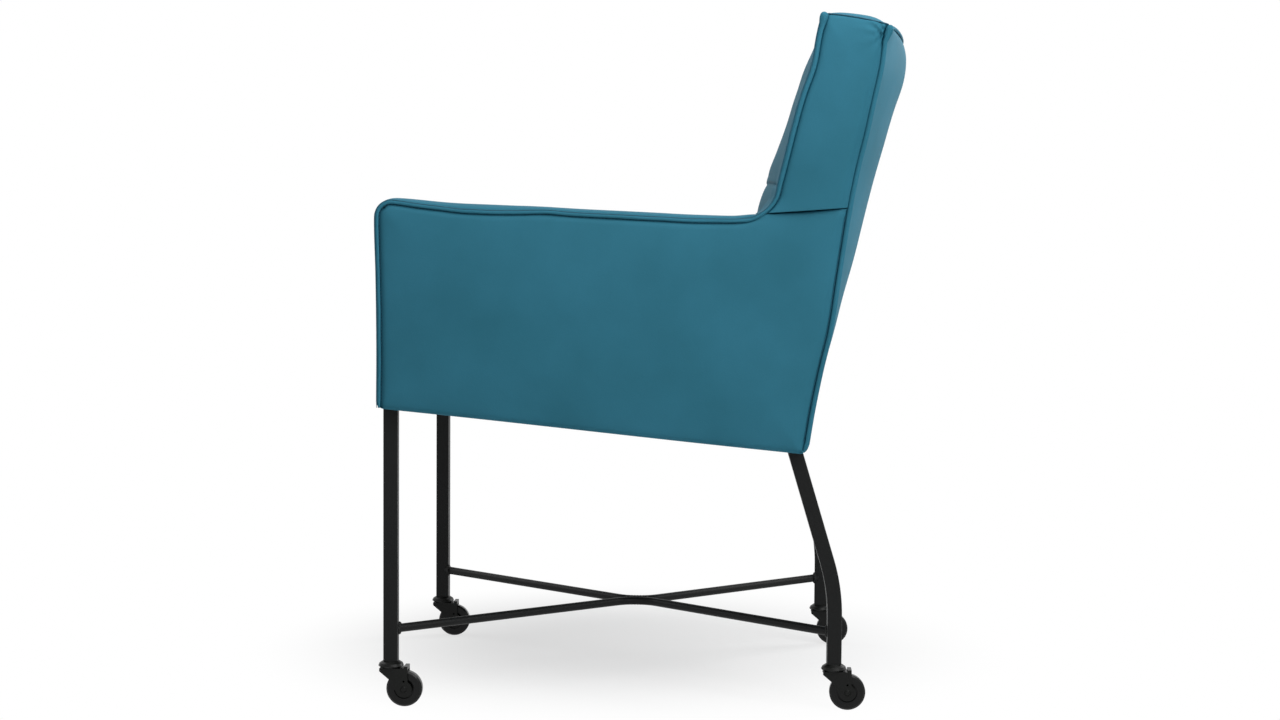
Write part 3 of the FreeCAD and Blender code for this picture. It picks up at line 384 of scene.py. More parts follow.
def graded(count, pull):
    """Places from 0 to 1 for the rows of a block, closer together at both ends."""
    return [0.5 + 0.5 * math.tanh(pull * (2 * row / count - 1)) / math.tanh(pull) for row in range(count + 1)]


def gridded_block(name, counts):
    """A cube from -1 to 1 with loop cuts along each axis."""
    deselect()
    bpy.ops.mesh.primitive_cube_add(size=2)
    piece = bpy.context.object
    piece.name = piece.data.name = name
    bpy.ops.object.mode_set(mode="EDIT")
    bpy.ops.mesh.select_mode(type="EDGE")
    for axis, count in enumerate(counts):
        bpy.ops.mesh.select_all(action="DESELECT")
        mesh = bmesh.from_edit_mesh(piece.data)
        for edge in mesh.edges:
            run = edge.verts[1].co - edge.verts[0].co
            edge.select_set(abs(run[axis]) > run.length / 2)
        bmesh.update_edit_mesh(piece.data)
        bpy.ops.mesh.subdivide(number_cuts=count - 1)
    bpy.ops.object.mode_set(mode="OBJECT")
    return piece


def stuffed(name, rows, shape, loose):
    """A padded block: rows holds the places of its loop cuts on each axis, shape puts each point in place, and
    loose says which points aren't sewn down."""
    counts = [len(places) - 1 for places in rows]
    piece = gridded_block(name, counts)
    sewn = []
    for vertex in piece.data.vertices:
        steps = [round((vertex.co[axis] + 1) / 2 * counts[axis]) for axis in range(3)]
        place = [rows[axis][steps[axis]] for axis in range(3)]
        vertex.co = shape(*place)
        if not loose(*place):
            sewn.append(vertex.index)
    puff_up(piece, sewn)
    return piece


PADDING_PRESSURE, PADDING_FRAMES = 4, 20


def puff_up(piece, sewn):
    """Swells the padding between its seams with a cloth simulation, and no further than the puff allows."""
    scene = bpy.context.scene
    seams = piece.vertex_groups.new(name="sewn")
    seams.add(sewn, 1, "REPLACE")
    cloth = piece.modifiers.new("Padding", "CLOTH")
    cloth.settings.vertex_group_mass = seams.name
    cloth.settings.use_pressure = True
    cloth.settings.uniform_pressure_force = PADDING_PRESSURE
    cloth.settings.effector_weights.gravity = 0
    cloth.point_cache.frame_end = PADDING_FRAMES
    for count in range(1, PADDING_FRAMES + 1):
        scene.frame_set(count)
    swollen = piece.evaluated_get(bpy.context.evaluated_depsgraph_get()).data
    limit = cover().puff
    for vertex, other in zip(piece.data.vertices, swollen.vertices):
        move = other.co - vertex.co
        if move.length > 1e-7:
            vertex.co = vertex.co + move * (limit * math.tanh(move.length / limit) / move.length)
    piece.modifiers.remove(cloth)
    piece.vertex_groups.remove(seams)
    scene.frame_set(1)


def roll(first, second, radius):
    """How far a point moves in from two faces that meet in a round edge, given its distances inside them."""
    a, b = radius - first, radius - second
    if a <= 0 or b <= 0:
        return 0, 0
    scale = max(a, b) / math.hypot(a, b)
    return a - a * scale, b - b * scale


def finished(piece, material, body, levels=1, sharp=40):
    """Smooths a piece, colours it and lets it ride on a body."""
    deselect()
    piece.select_set(True)
    bpy.context.view_layer.objects.active = piece
    if levels:
        smoothing = piece.modifiers.new("Smoothing", "SUBSURF")
        smoothing.levels = smoothing.render_levels = levels
        bpy.ops.object.modifier_apply(modifier=smoothing.name)
    bpy.ops.object.mode_set(mode="EDIT")
    bpy.ops.mesh.select_all(action="SELECT")
    bpy.ops.mesh.normals_make_consistent(inside=False)
    bpy.ops.object.mode_set(mode="OBJECT")
    bpy.ops.object.shade_smooth_by_angle(angle=math.radians(sharp))
    piece.data.materials.clear()
    piece.data.materials.append(finish_of(material))
    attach(piece, body)
    return piece


def mirrored(piece):
    """A right-hand copy of a left-hand piece, with its own mesh and name."""
    deselect()
    copy = piece.copy()
    copy.data = piece.data.copy()
    copy.name = copy.data.name = piece.name.replace("left", "right")
    copy.parent = None
    bpy.context.scene.collection.objects.link(copy)
    copy.data.transform(Matrix.Diagonal((-1, 1, 1, 1)))
    copy.data.flip_normals()
    return copy


def outer_x(depth):
    """The outer face of the left side at a depth behind the front legs."""
    return FRONT_FOOT.x + cover().overhang - SIDE_TAPER * depth


def inner_x(depth):
    return outer_x(depth) - cover().arm_thickness


def in_frame(x, depth, z):
    return Vector((x, depth + FRONT_FOOT.y, z))


def panel_foot(depth):
    """The lower edge of the shell."""
    return cover().panel_foot - math.tan(cover().shell_slope) * depth


def mix(start, end, share):
    return start + (end - start) * share


# A seam's groove is deepest a little inside its line and this wide; a panel reaches its swell over this distance
GROOVE_PLACE, GROOVE_WIDTH, SWELL_REACH = 0.0012, 0.0044, 0.030
# Roundings of a sewn edge without a welt and along a plain seam, and a rear seam's distance from the rear edge
SEWN_ROLL, PLAIN_ROLL, REAR_SEAM = 0.003, 0.0006, 0.004
# What counts as lying on a face
ON_FACE = 1e-9


def groove_at(distance):
    """How far a seam pulls the padding in, at a distance inside its line."""
    return cover().groove * math.exp(-((distance - GROOVE_PLACE) / GROOVE_WIDTH) ** 2)


def fill_at(edge):
    """The share of a panel's swell at a distance from its edge."""
    return 1 - math.exp(-edge / SWELL_REACH)


def swell_at(edge):
    return cover().panel_swell * fill_at(edge)


def slack(place, size, depth):
    """Slight unevenness of leather over padding."""
    return depth * noise.noise(place / size)


def eased(start, end, place):
    """A smooth step from 0 at the start to 1 at the end."""
    t = min(max((place - start) / (end - start), 0), 1)
    return t * t * (3 - 2 * t)


# Arms
# Depths over which a plain seam takes over from the welt on top, and over which the upper edge turns sharp
SEAM_SWAP, SHARP_EDGE = (0.468, 0.503), (0.485, 0.515)
# The last depth at which the welt's line is read, the first of the plain seam's, and a depth halfway along the arm
WELT_LAST, PLAIN_FIRST, ARM_MIDDLE = 0.5, 0.47, 0.3
# The arm's rear end ahead of the rear edge, its lower edge's sag, its front's fullness and its lower edge's rounding
ARM_REAR_GAP, FOOT_SAG, FRONT_FULLNESS, FOOT_ROLL = 0.0025, 0.0024, 0.002, 0.008
# The depths over which the lower edge sags; shares of the swell on the inner face and of the groove at the rear seam
SAG_RUN, INNER_SWELL, REAR_GROOVE = (0.05, 0.5), 0.25, 0.5


def arm_top(depth):
    """The upper edge of an arm: above its welt at first, and a plain seam below the back's side."""
    welted = arm_seam(min(depth, WELT_LAST)) + cover().welt_inset
    return mix(welted, plain_seam(max(depth, PLAIN_FIRST)), eased(*SEAM_SWAP, depth))


def arm_shape(across, along, up):
    """A point of the left arm: across runs from its inner face, along from its front, up from its foot."""
    sizes = cover()
    # The edges bend, so the point's depth and height are found in a few rounds
    z = mix(panel_foot(ARM_MIDDLE), arm_top(ARM_MIDDLE), up)
    for _ in range(3):
        front, rear = front_edge(z), back_rear(z) - ARM_REAR_GAP
        depth = mix(front, rear, along)
        low, high = panel_foot(depth) - FOOT_SAG * eased(*SAG_RUN, depth), arm_top(depth)
        z = mix(low, high, up)
    to_front, to_rear, to_foot, to_top = depth - front, rear - depth, z - low, high - z
    plain = eased(*SHARP_EDGE, depth)
    edge = min(to_front, to_rear, to_foot, to_top)
    outward = {to_front: (-1, 0), to_rear: (1, 0), to_foot: (0, -1), to_top: (0, 1)}[edge]
    for side, level, radius, lean, lift in ((to_front, to_top, sizes.arm_corner, -1, 1),
                                            (to_front, to_foot, sizes.foot_corner, -1, -1),
                                            (to_rear, to_foot, SEWN_ROLL, 1, -1)):
        back, down = roll(side, level, radius)
        if side < radius and level < radius:
            outward = Vector((lean * (radius - side), lift * (radius - level))).normalized()
        depth -= lean * back
        z -= lift * down
    outside, inside = outer_x(depth), inner_x(depth)
    x = mix(inside, outside, across)
    full = 1 - (2 * across - 1) ** 2
    radius = sizes.edge_roll
    if to_top == edge:
        z += max(arm_crown(depth), 0) * full * (1 - plain)
        radius = mix(sizes.edge_roll, PLAIN_ROLL, plain)
    if to_front == edge:
        depth -= FRONT_FULLNESS * full
    if to_foot == edge:
        radius = FOOT_ROLL
    for face, sign, share in ((outside - x, 1, 1), (x - inside, -1, INNER_SWELL)):
        in_plane, sunk = roll(edge, face, radius)
        depth -= outward[0] * in_plane
        z -= outward[1] * in_plane
        x -= sign * sunk
        if face < ON_FACE:
            x += sign * swell_at(edge) * share
            x -= sign * groove_at(to_front - sizes.welt_inset)
            x -= sign * groove_at(to_top - sizes.welt_inset) * (1 - plain)
            x -= sign * groove_at(to_rear - REAR_SEAM) * REAR_GROOVE
            x += sign * slack(Vector((x, depth, z)), size=0.07, depth=0.0012) * fill_at(edge)
    return in_frame(x, depth, z)


def arm_loose(across, along, up):
    """Both faces swell, away from their seams."""
    return 0.06 < along < 0.93 and 0.07 < up < 0.93 and across in (0, 1)


class ARMCHAIR_OT_arms(bpy.types.Operator):
    """Covers both arms with padded leather"""
    bl_idname = "armchair.arms"
    bl_label = "Arms"

    def execute(self, context):
        rows = (graded(16, 1.4), graded(72, 1.8), graded(52, 1.8))
        left = stuffed("arm_cover_left", rows, arm_shape, arm_loose)
        right = mirrored(left)
        for piece, node in ((left, "arm_left"), (right, "arm_right")):
            finished(piece, "dyed_leather", "chair")
            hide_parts(node)
        return {"FINISHED"}


# Back
# Heights of the back cover's lower end, of the sag of the top's rear edge and of the sewn channel's arch
BACK_FOOT, TOP_SAG, CHANNEL_ARCH = 0.43, 0.009, 0.0045
# How squarely the rear panel is rounded across; the shares across at which the cover passes above an arm
REAR_ROUND, OVER_ARM = 2.4, (0.74, 0.82)
# The top from its front edge to its rear edge, its arch, and the welt's line beside the front edge
TOP_DEPTH, TOP_ARCH, EDGE_INSET = 0.094, 0.002, (0.76, 1)
# The folds by the rear ear: the depth and height where they meet, their height and how far they reach
FOLD_PLACE, FOLD_HEIGHT, FOLD_REACH = Vector((0.670, 0.930)), 0.0075, 0.010
# The rear panel's tuck below the top welt, and how far that welt lies above the panel
TUCK, TUCK_REACH, TUCK_GAP = 0.0036, 0.0030, 0.0016
# The sewn channel's width, and the depth and reach of the dip around it
CHANNEL_WIDTH, DIP_DEPTH, DIP_REACH = 0.0028, 0.001, 0.015
# The cover's gaps: before the rear panel, above an arm, between its parts below and above that, and beside an arm
PANEL_GAP, ARM_GAP, PART_GAP, BESIDE_GAP = 0.0008, 0.0002, 0.001, 0.003
# A row's rise for a first guess, a depth near the back's front, and the lowest height of the wing's line
ROW_RISE, NEAR_BACK, WING_FOOT = 0.17, 0.5, 0.683
# How steeply the cover turns back beside an arm, and the groove's share at the rear seam
TURN_BACK, BACK_GROOVE = 0.12, 0.6
# The share of the top's fullness at its front edge, and what it gains to the rear
TOP_SHARE, TOP_GAIN = 0.8, 0.35
# The rear panel's thickness at its sides, what its middle has more, and what it stays inside the outer faces
PANEL_EDGE, PANEL_PAD, PANEL_INSET = 0.002, 0.012, 0.0005


def rear_round(across):
    return 1 - abs(across) ** REAR_ROUND


def square_fall(across):
    """Full across nearly the whole width, and nothing at both sides."""
    return 1 - across ** 8


def rear_face(across, z):
    """The depth of the rear panel; across runs from -1 to 1."""
    return back_rear(z) + rear_bulge(z) * rear_round(across)


def top_sag(across):
    """How far the top slopes down to the middle of the rear panel, below its corners."""
    return TOP_SAG * rear_round(across)


def channel_height(across):
    """The sewn channel across the back, which arches a little."""
    return cover().seam_height + CHANNEL_ARCH * (1 - 2 * across ** 2)


def rear_thickness(across):
    return PANEL_EDGE + PANEL_PAD * square_fall(across)


def back_rows():
    """Rows of the back's cover: 0 to 1 between the arms, 1 to 2 up to the sewn channel, 2 to 3 up to the top."""
    between = [place * 0.999 for place in graded(14, 1.2)]
    return between + [1 + place for place in graded(12, 1.5)] + [2 + place for place in graded(40, 1.9)][1:]


def far_side(across, z):
    """How far the front of the back lies behind the left front edge's line."""
    return max(straight_edge(z), 0) * (1 - across) / 2


def back_shape(across, along, row):
    """A point of the back's cover, between the front panels and the rear panel."""
    sizes = cover()
    zone = min(int(row), 2)
    sign, off_middle = math.copysign(1, across), abs(across)
    # Past the arm's inner face, the part between the arms turns back beside the arm
    beside_arm = max(off_middle - inner_x(NEAR_BACK) / outer_x(NEAR_BACK), 0)
    # The faces lean and bend, so the point's depth and height are found in a few rounds
    z = BACK_FOOT + ROW_RISE * row
    for _ in range(4):
        front = back_front(z) + far_side(across, z)
        if zone:
            front -= sizes.welt_inset * eased(*EDGE_INSET, off_middle)
        else:
            front += TURN_BACK * beside_arm
        if zone == 1:
            front = mix(front, wing_front(max(z, WING_FOOT)) - sizes.welt_inset, eased(*OVER_ARM, off_middle))
        rear = rear_face(across, min(z, sizes.top_rear)) - rear_thickness(across) - PANEL_GAP
        depth = mix(front, rear, along)
        share = (depth - back_front(sizes.top_front) + sizes.welt_inset) / TOP_DEPTH
        top = mix(sizes.top_front, sizes.top_rear, share) + TOP_ARCH * (1 - (2 * share - 1) ** 2)
        wing = arm_top(depth) + ARM_GAP
        sewn = channel_height(across)
        z = (mix(BACK_FOOT, wing - PART_GAP, row), mix(wing, sewn, row - 1), mix(sewn, top, row - 2))[zone]
    widest = outer_x(depth) if zone else inner_x(depth) - BESIDE_GAP
    x = sign * min(outer_x(depth) * off_middle, widest)
    side = widest - abs(x)
    to_front, to_rear, to_top, to_arm = depth - front, rear - depth, top - z, z - wing
    moved = Vector((0, 0, 0))
    if zone:
        outward, forward, up = Vector((sign, 0, 0)), Vector((0, -1, 0)), Vector((0, 0, 1))
        for first, second, radius, one, two in ((side, to_front, sizes.edge_roll, outward, forward),
                                                (to_top, to_front, sizes.edge_roll, up, forward),
                                                (side, to_top, SEWN_ROLL, outward, up),
                                                (side, to_arm, PLAIN_ROLL, outward, -up),
                                                (side, to_rear, SEWN_ROLL, outward, -forward)):
            inward, sunk = roll(first, second, radius)
            moved -= one * inward + two * sunk
        if side < ON_FACE:
            swell = swell_at(min(to_front, to_rear, to_top)) - groove_at(to_front - sizes.welt_inset)
            swell -= groove_at(to_rear - REAR_SEAM) * BACK_GROOVE
            swell += ear_folds(Vector((depth, z)) - FOLD_PLACE) + slack(Vector((x, depth, z)), size=0.06, depth=0.001)
            moved.x += sign * swell
    if along == 0:
        away = abs(z - sewn)
        channel = sizes.seam_depth * math.exp(-(away / CHANNEL_WIDTH) ** 2) + DIP_DEPTH * math.exp(-away / DIP_REACH)
        moved.y -= back_crown(z) * (1 - (x / outer_x(depth)) ** 2) - channel
    if to_top < ON_FACE:
        crown = sizes.top_crown * square_fall(across)
        moved.z += crown * (1 - (2 * along - 1) ** 4) * (TOP_SHARE + TOP_GAIN * along)
    return in_frame(x, depth, z) + moved


def ear_folds(spread):
    """The height of the pulled folds that fan out by the rear ear, at a distance from where they meet."""
    fan = 1 - 2 * abs(math.cos(4.5 * math.atan2(spread.y, -spread.x) + 0.5))
    return FOLD_HEIGHT * fan * math.exp(-spread.length / FOLD_REACH) * eased(0, 0.003, spread.length)


def back_loose(across, along, row):
    """The front swells, away from its seams and from the arms."""
    widest = 0.93 if row >= 1 else 0.68
    return along == 0 and abs(across) < widest and 0.06 < row - int(row) < 0.95 and row < 2.95


def rear_shape(across, along, level):
    """A point of the rear panel: along runs from its inside to the outside."""
    foot, top = cover().rear_foot, cover().top_rear
    tuck = TUCK * math.exp((level - top + TUCK_GAP) / TUCK_REACH) * square_fall(across)
    depth = rear_face(across, level) - rear_thickness(across) * (1 - along) - tuck * along
    half = outer_x(back_rear(level)) - PANEL_INSET
    climb = (level - foot) / (top - foot)
    return in_frame(half * across, depth, level - top_sag(across) * climb ** 6)


def rear_loose(across, along, level):
    """The outside swells, away from its seams."""
    return along == 1 and abs(across) < 0.94 and cover().rear_foot + 0.02 < level < cover().top_rear - 0.015


class ARMCHAIR_OT_back(bpy.types.Operator):
    """Covers the back with its padded front, sides, top and rear panel"""
    bl_idname = "armchair.back"
    bl_label = "Back"

    def execute(self, context):
        sizes = cover()
        across = [2 * place - 1 for place in graded(72, 1.7)]
        front = stuffed("back_cover", (across, graded(30, 1.7), back_rows()), back_shape, back_loose)
        finished(front, "dyed_leather", "chair")
        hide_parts("back_pad_lower", "back_pad_upper")
        levels = [mix(sizes.rear_foot, sizes.top_rear - TUCK_GAP, place) for place in graded(52, 1.5)]
        rear = stuffed("back_rear_cover", (across, graded(3, 1), levels), rear_shape, rear_loose)
        finished(rear, "dyed_leather", "chair")
        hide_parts("back_pad_rear")
        return {"FINISHED"}


# Seat
# The top of the seat deck above the shell's foot, the height at which the seat's front lies, and its rounding
DECK_RISE, SEAT_LEVEL, SEAT_ROLL = 0.036, 0.45, 0.014
# Fullness of the seat's front and of its border; the border's thickness, level and gap below the deck's top
SEAT_FULLNESS, BORDER_FULLNESS, BORDER_DEPTH, BORDER_LEVEL, BORDER_GAP = 0.004, 0.0025, 0.013, 0.42, 0.001
# The seat's gaps beside an arm's front edge and further back, the depth where the second starts, and before the back
EDGE_GAP, SIDE_GAP, GAP_RUN, BACK_GAP = 0.0018, 0.0045, 0.08, 0.002
# A depth near the seat's rear; distances over which its crown rises from front and rear, and its share at the rear
SEAT_REAR, CROWN_FRONT, CROWN_REAR, REAR_SHARE = 0.45, 0.1, 0.05, 0.3


def deck_top(depth):
    """The top of the seat deck."""
    return panel_foot(depth) + DECK_RISE


def seat_gap(depth):
    """Room between the seat and an arm, which swells a little behind its front edge."""
    return mix(EDGE_GAP, SIDE_GAP, eased(0, GAP_RUN, depth))


def seat_side(depth):
    return inner_x(depth) - seat_gap(depth)


def seat_shape(across, along, up):
    """A point of the seat cushion, drawn in at its sides and crowned."""
    sizes = cover()
    z = deck_top(SEAT_LEVEL) + sizes.seat_edge * up
    front = front_edge(SEAT_LEVEL)
    aside = across * inner_x(SEAT_REAR) / outer_x(SEAT_REAR)
    for _ in range(3):
        rear = back_front(z) - max(back_crown(z), 0) * (1 - aside ** 2) - BACK_GAP
        depth = mix(front, rear, along)
        z = deck_top(depth) + sizes.seat_edge * up
    x = seat_side(depth) * across
    inward, sunk = roll(depth - front, sizes.seat_edge * (1 - up), SEAT_ROLL)
    depth += inward
    z -= sunk
    if up == 1:
        rise = min(1, (depth - front) / CROWN_FRONT, (rear - depth) / CROWN_REAR + REAR_SHARE)
        z += sizes.seat_crown * (1 - across ** 4) * rise
    if along == 0:
        depth -= SEAT_FULLNESS * (1 - across ** 2) * (1 - (2 * up - 1) ** 2)
    return in_frame(x, depth, z)


def seat_loose(across, along, up):
    """The top swells, away from its edges."""
    return up == 1 and abs(across) < 0.94 and 0.04 < along < 0.95


def border_shape(across, along, up):
    """A point of the padded border under the seat's front edge."""
    depth = front_edge(BORDER_LEVEL) + BORDER_DEPTH * along
    x = seat_side(depth) * across
    if along == 0:
        depth -= BORDER_FULLNESS * (1 - (2 * up - 1) ** 2)
    return in_frame(x, depth, deck_top(depth) - BORDER_GAP - cover().border_height * (1 - up))


def border_loose(across, along, up):
    """The front swells, away from its seams."""
    return along == 0 and abs(across) < 0.95 and 0.1 < up < 0.9


class ARMCHAIR_OT_seat(bpy.types.Operator):
    """Makes the seat cushion and its front border"""
    bl_idname = "armchair.seat"
    bl_label = "Seat"

    def execute(self, context):
        across = [2 * place - 1 for place in graded(48, 1.5)]
        cushion = stuffed("seat_cover", (across, graded(48, 1.5), graded(10, 1.2)), seat_shape, seat_loose)
        border = stuffed("seat_border_cover", (across, graded(4, 1), graded(10, 1.2)), border_shape, border_loose)
        for piece, node in ((cushion, "seat_cushion"), (border, "seat_front_border")):
            finished(piece, "dyed_leather", "chair")
            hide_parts(node)
        return {"FINISHED"}


# The dust sheet's hang in its middle, the puckers along its tacked edges, its gap below the deck and its thickness
SHEET_HANG, PUCKER, PUCKER_TURNS, SHEET_GAP, SHEET_THICKNESS = 0.0035, 0.0006, 75, 0.0012, 0.0006


class ARMCHAIR_OT_dust_sheet(bpy.types.Operator):
    """Stretches the black cloth under the seat"""
    bl_idname = "armchair.dust_sheet"
    bl_label = "Dust sheet"

    def execute(self, context):
        low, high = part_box("dust_cover")
        deselect()
        bpy.ops.mesh.primitive_grid_add(x_subdivisions=48, y_subdivisions=48, size=2)
        sheet = context.object
        sheet.name = sheet.data.name = "dust_sheet"
        slope = math.tan(cover().shell_slope)
        for vertex in sheet.data.vertices:
            u, v = vertex.co.x, vertex.co.y
            depth = mix(low[1], high[1], (v + 1) / 2)
            half = mix(high[0], high[0] - SIDE_TAPER * (high[1] - low[1]), (v + 1) / 2)
            hang = SHEET_HANG * (1 - u ** 2) * (1 - v ** 2)
            for along, aside in ((u, v), (v, u)):
                hang += PUCKER * math.cos(along * PUCKER_TURNS) * abs(aside) ** 12
            vertex.co = (half * u, depth, high[2] - SHEET_GAP - slope * (depth - low[1]) - hang)
        thick = sheet.modifiers.new("Thickness", "SOLIDIFY")
        thick.thickness = SHEET_THICKNESS
        bpy.ops.object.modifier_apply(modifier=thick.name)
        finished(sheet, "spun_cloth", "chair", levels=0)
        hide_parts("dust_cover")
        return {"FINISHED"}


# Welts
# The thickness of a strip's open ends; a welt's fullness on the back, and the heights over which it grows
END_SWELL, FULL_WELT, FULL_HEIGHTS = 0.55, 1.35, (0.690, 0.750)
# Heights of a welt's points where it turns from the arm up the back
WING_HEIGHTS = (0.6774, 0.6788, 0.6812, 0.6845, 0.6885, 0.6940, 0.7010, 0.7090, 0.7180)
# A side welt's start above the shell's foot, its stop below the arm's corner, and the depth of that corner's top
WELT_START, CORNER_STOP, CORNER_DEPTH = 0.003, 0.006, 0.005
# Its depths along the arm, the height at which it reaches the back's edge, and what it runs past the top
ALONG_ARM, BACK_EDGE, OVERRUN = (0.014, 0.472), 0.728, 0.0035
# How full the two ears are; an ear's neck, as heights below its middle and shares of its fullness; its tip's angles
FRONT_EAR, REAR_EAR = 2.3, 1.55
NECK = ((-0.018, 0), (-0.012, 0.3), (-0.007, 0.75), (-0.003, 0.96))
TIP_ANGLES = (0, 25, 45, 62, 76, 86)
# The ears' middles below the top's corners, the room for a neck, and the depth up to which a line is on the arm
FRONT_EAR_DROP, REAR_EAR_DROP, NECK_ROOM, ARM_PART = 0.0035, 0.0062, 0.020, 0.4
# The rear welt's turned-in lower end: depth and height from its corner, and thickness
HEEL = ((-0.0062, -0.0034, 0.35), (-0.0034, -0.0034, 0.5), (-0.0022, -0.0016, 0.72), (-0.0010, 0.0012, 0.92),
        (0, 0.0045, 1))
# Where the rear welt's straight part starts above its foot; the inner welt's depth in the arm's face, and its end
REAR_START, INNER_SUNK, INNER_END = 0.008, 0.001, 0.46
# The top's front welt: ahead of the edge, its bow, its height above the top, and the drop of its ends
FRONT_AHEAD, FRONT_BOW, FRONT_LIFT, FRONT_DROP = 0.0015, 0.006, 0.001, 0.003
# The top's rear welt inside the rear panel's face and the drop of its ends; the seat's welt behind and below its edge
REAR_SUNK, REAR_DROP, SEAT_BEHIND, SEAT_BELOW = 0.0018, 0.0060, 0.001, 0.0005
# What these stop short of the sides and of the arms, and the thicknesses of the front and the seat's, as shares
SIDE_SHORT, ARM_SHORT, TOP_WELT, SEAT_WELT = 0.003, 0.004, 0.9, 0.75
# Seams: the top's short of its ends and above the top; the side's beside the welt, and its stop below the top
SEAM_SHORT, SEAM_LIFT, SEAM_ASIDE, SEAM_STOP = 0.004, 0.0004, 0.0031, 0.008
# How far behind the right front edge a seam is still straightened
STRAIGHT_REACH = 0.05
# The size of the wander of hand sewing, and its quick and slow changes per metre
WANDER, QUICK, SLOW = 0.0006, 30, 9


def tube(name, points, thickness, swells=None, closed=False):
    """A round strip along points, as a mesh; swells are its thicknesses along it, and its open ends are rounded."""
    deselect()
    curve = bpy.data.curves.new(name, "CURVE")
    curve.dimensions = "3D"
    curve.bevel_depth = thickness / 2
    curve.bevel_resolution = 3
    curve.use_fill_caps = True
    spline = curve.splines.new("POLY")
    spline.points.add(len(points) - 1)
    for control, point in zip(spline.points, points):
        control.co = (*point, 1)
    spline.use_cyclic_u = closed
    for control, swell in zip(spline.points, swells or [END_SWELL] + [1] * (len(points) - 2) + [END_SWELL]):
        control.radius = swell
    piece = bpy.data.objects.new(name, curve)
    bpy.context.scene.collection.objects.link(piece)
    bpy.context.view_layer.objects.active = piece
    piece.select_set(True)
    bpy.ops.object.convert(target="MESH")
    return bpy.context.object


def arc(centre, radius, start, end, steps):
    """Points (depth, height) along a round corner, angles in degrees from the rear."""
    angles = [math.radians(mix(start, end, step / steps)) for step in range(steps + 1)]
    return [(centre[0] + radius * math.cos(angle), centre[1] + radius * math.sin(angle)) for angle in angles]


def steps_between(start, end, count):
    return [mix(start, end, step / count) for step in range(count + 1)]


def side_welt_line():
    """The line of a side's welt: up the arm's front, along its top and up the edge of the back."""
    sizes = cover()
    inset = sizes.welt_inset
    corner = sizes.arm_corner - inset
    top = arm_seam(CORNER_DEPTH)
    turn = top - corner
    line = [(front_edge(z) + inset, z) for z in steps_between(panel_foot(0) + WELT_START, turn - CORNER_STOP, 24)]
    line += arc((front_edge(turn) + inset + corner, turn), corner, 180, 90, 10)
    line += [(depth, arm_seam(depth)) for depth in steps_between(*ALONG_ARM, 40)]
    line += [(wing_front(z), z) for z in WING_HEIGHTS]
    return uneven(line + [(back_front(z), z) for z in steps_between(BACK_EDGE, sizes.top_front + OVERRUN, 32)])


def beside(line, aside):
    """A line (depth, height) inside a welt's line, at a distance that grows where the welt is full."""
    moved = []
    for (d, z), (next_d, next_z) in zip(line, line[1:]):
        run = Vector((next_d - d, next_z - z)).normalized() * aside * fullness(z)
        moved.append((d + run.y, z - run.x))
    return moved


def fullness(height):
    """How full a side's welt is: more on the back than on the arm."""
    return mix(1, FULL_WELT, eased(*FULL_HEIGHTS, height))


def ear(line, top, full, thickness, thick_at):
    """Carries a seam's line (depth, height) on to a small round ear at its top, full times as thick as the strip;
    gives the points and their thicknesses, which thick_at tells below the ear."""
    (d, z), (next_d, next_z) = line[-2:]
    lean = (next_d - d) / (next_z - z)
    kept = [point for point in line if point[1] < top - NECK_ROOM or point[0] < ARM_PART]
    swells = [thick_at(height) for _, height in kept]
    tip = [(lift, mix(swells[-1], full, share)) for lift, share in NECK]
    for turn in map(math.radians, TIP_ANGLES):
        tip.append((thickness * full / 2 * math.sin(turn), full * math.cos(turn)))
    ends = [(next_d + lean * (top + lift - next_z), top + lift) for lift, _ in tip]
    return kept + ends, swells + [thick for _, thick in tip]


def straighten(piece):
    """Lays a copied seam along the right front edge of the back, which runs straighter than the left one."""
    for vertex in piece.data.vertices:
        behind = (vertex.co.y - FRONT_FOOT.y - back_front(vertex.co.z)) / STRAIGHT_REACH
        vertex.co.y += far_side(-1, vertex.co.z) * (1 - eased(0, 1, behind))


def uneven(line):
    """A seam's line (depth, height) with the slight wander of hand sewing."""
    return [(d + WANDER * noise.noise((z * QUICK, 0, d * SLOW)), z + WANDER * noise.noise((d * QUICK, 5, z * SLOW)))
            for d, z in line]


def outer_points(line, inset):
    """The points of a line (depth, height) this far inside the left outer face."""
    return [in_frame(outer_x(d) - inset, d, z) for d, z in line]


def cross_points(half, place):
    """Points from side to side; place tells the depth and height at each share of the half width."""
    return [in_frame(share * half, *place(share)) for share in steps_between(-1, 1, 40)]


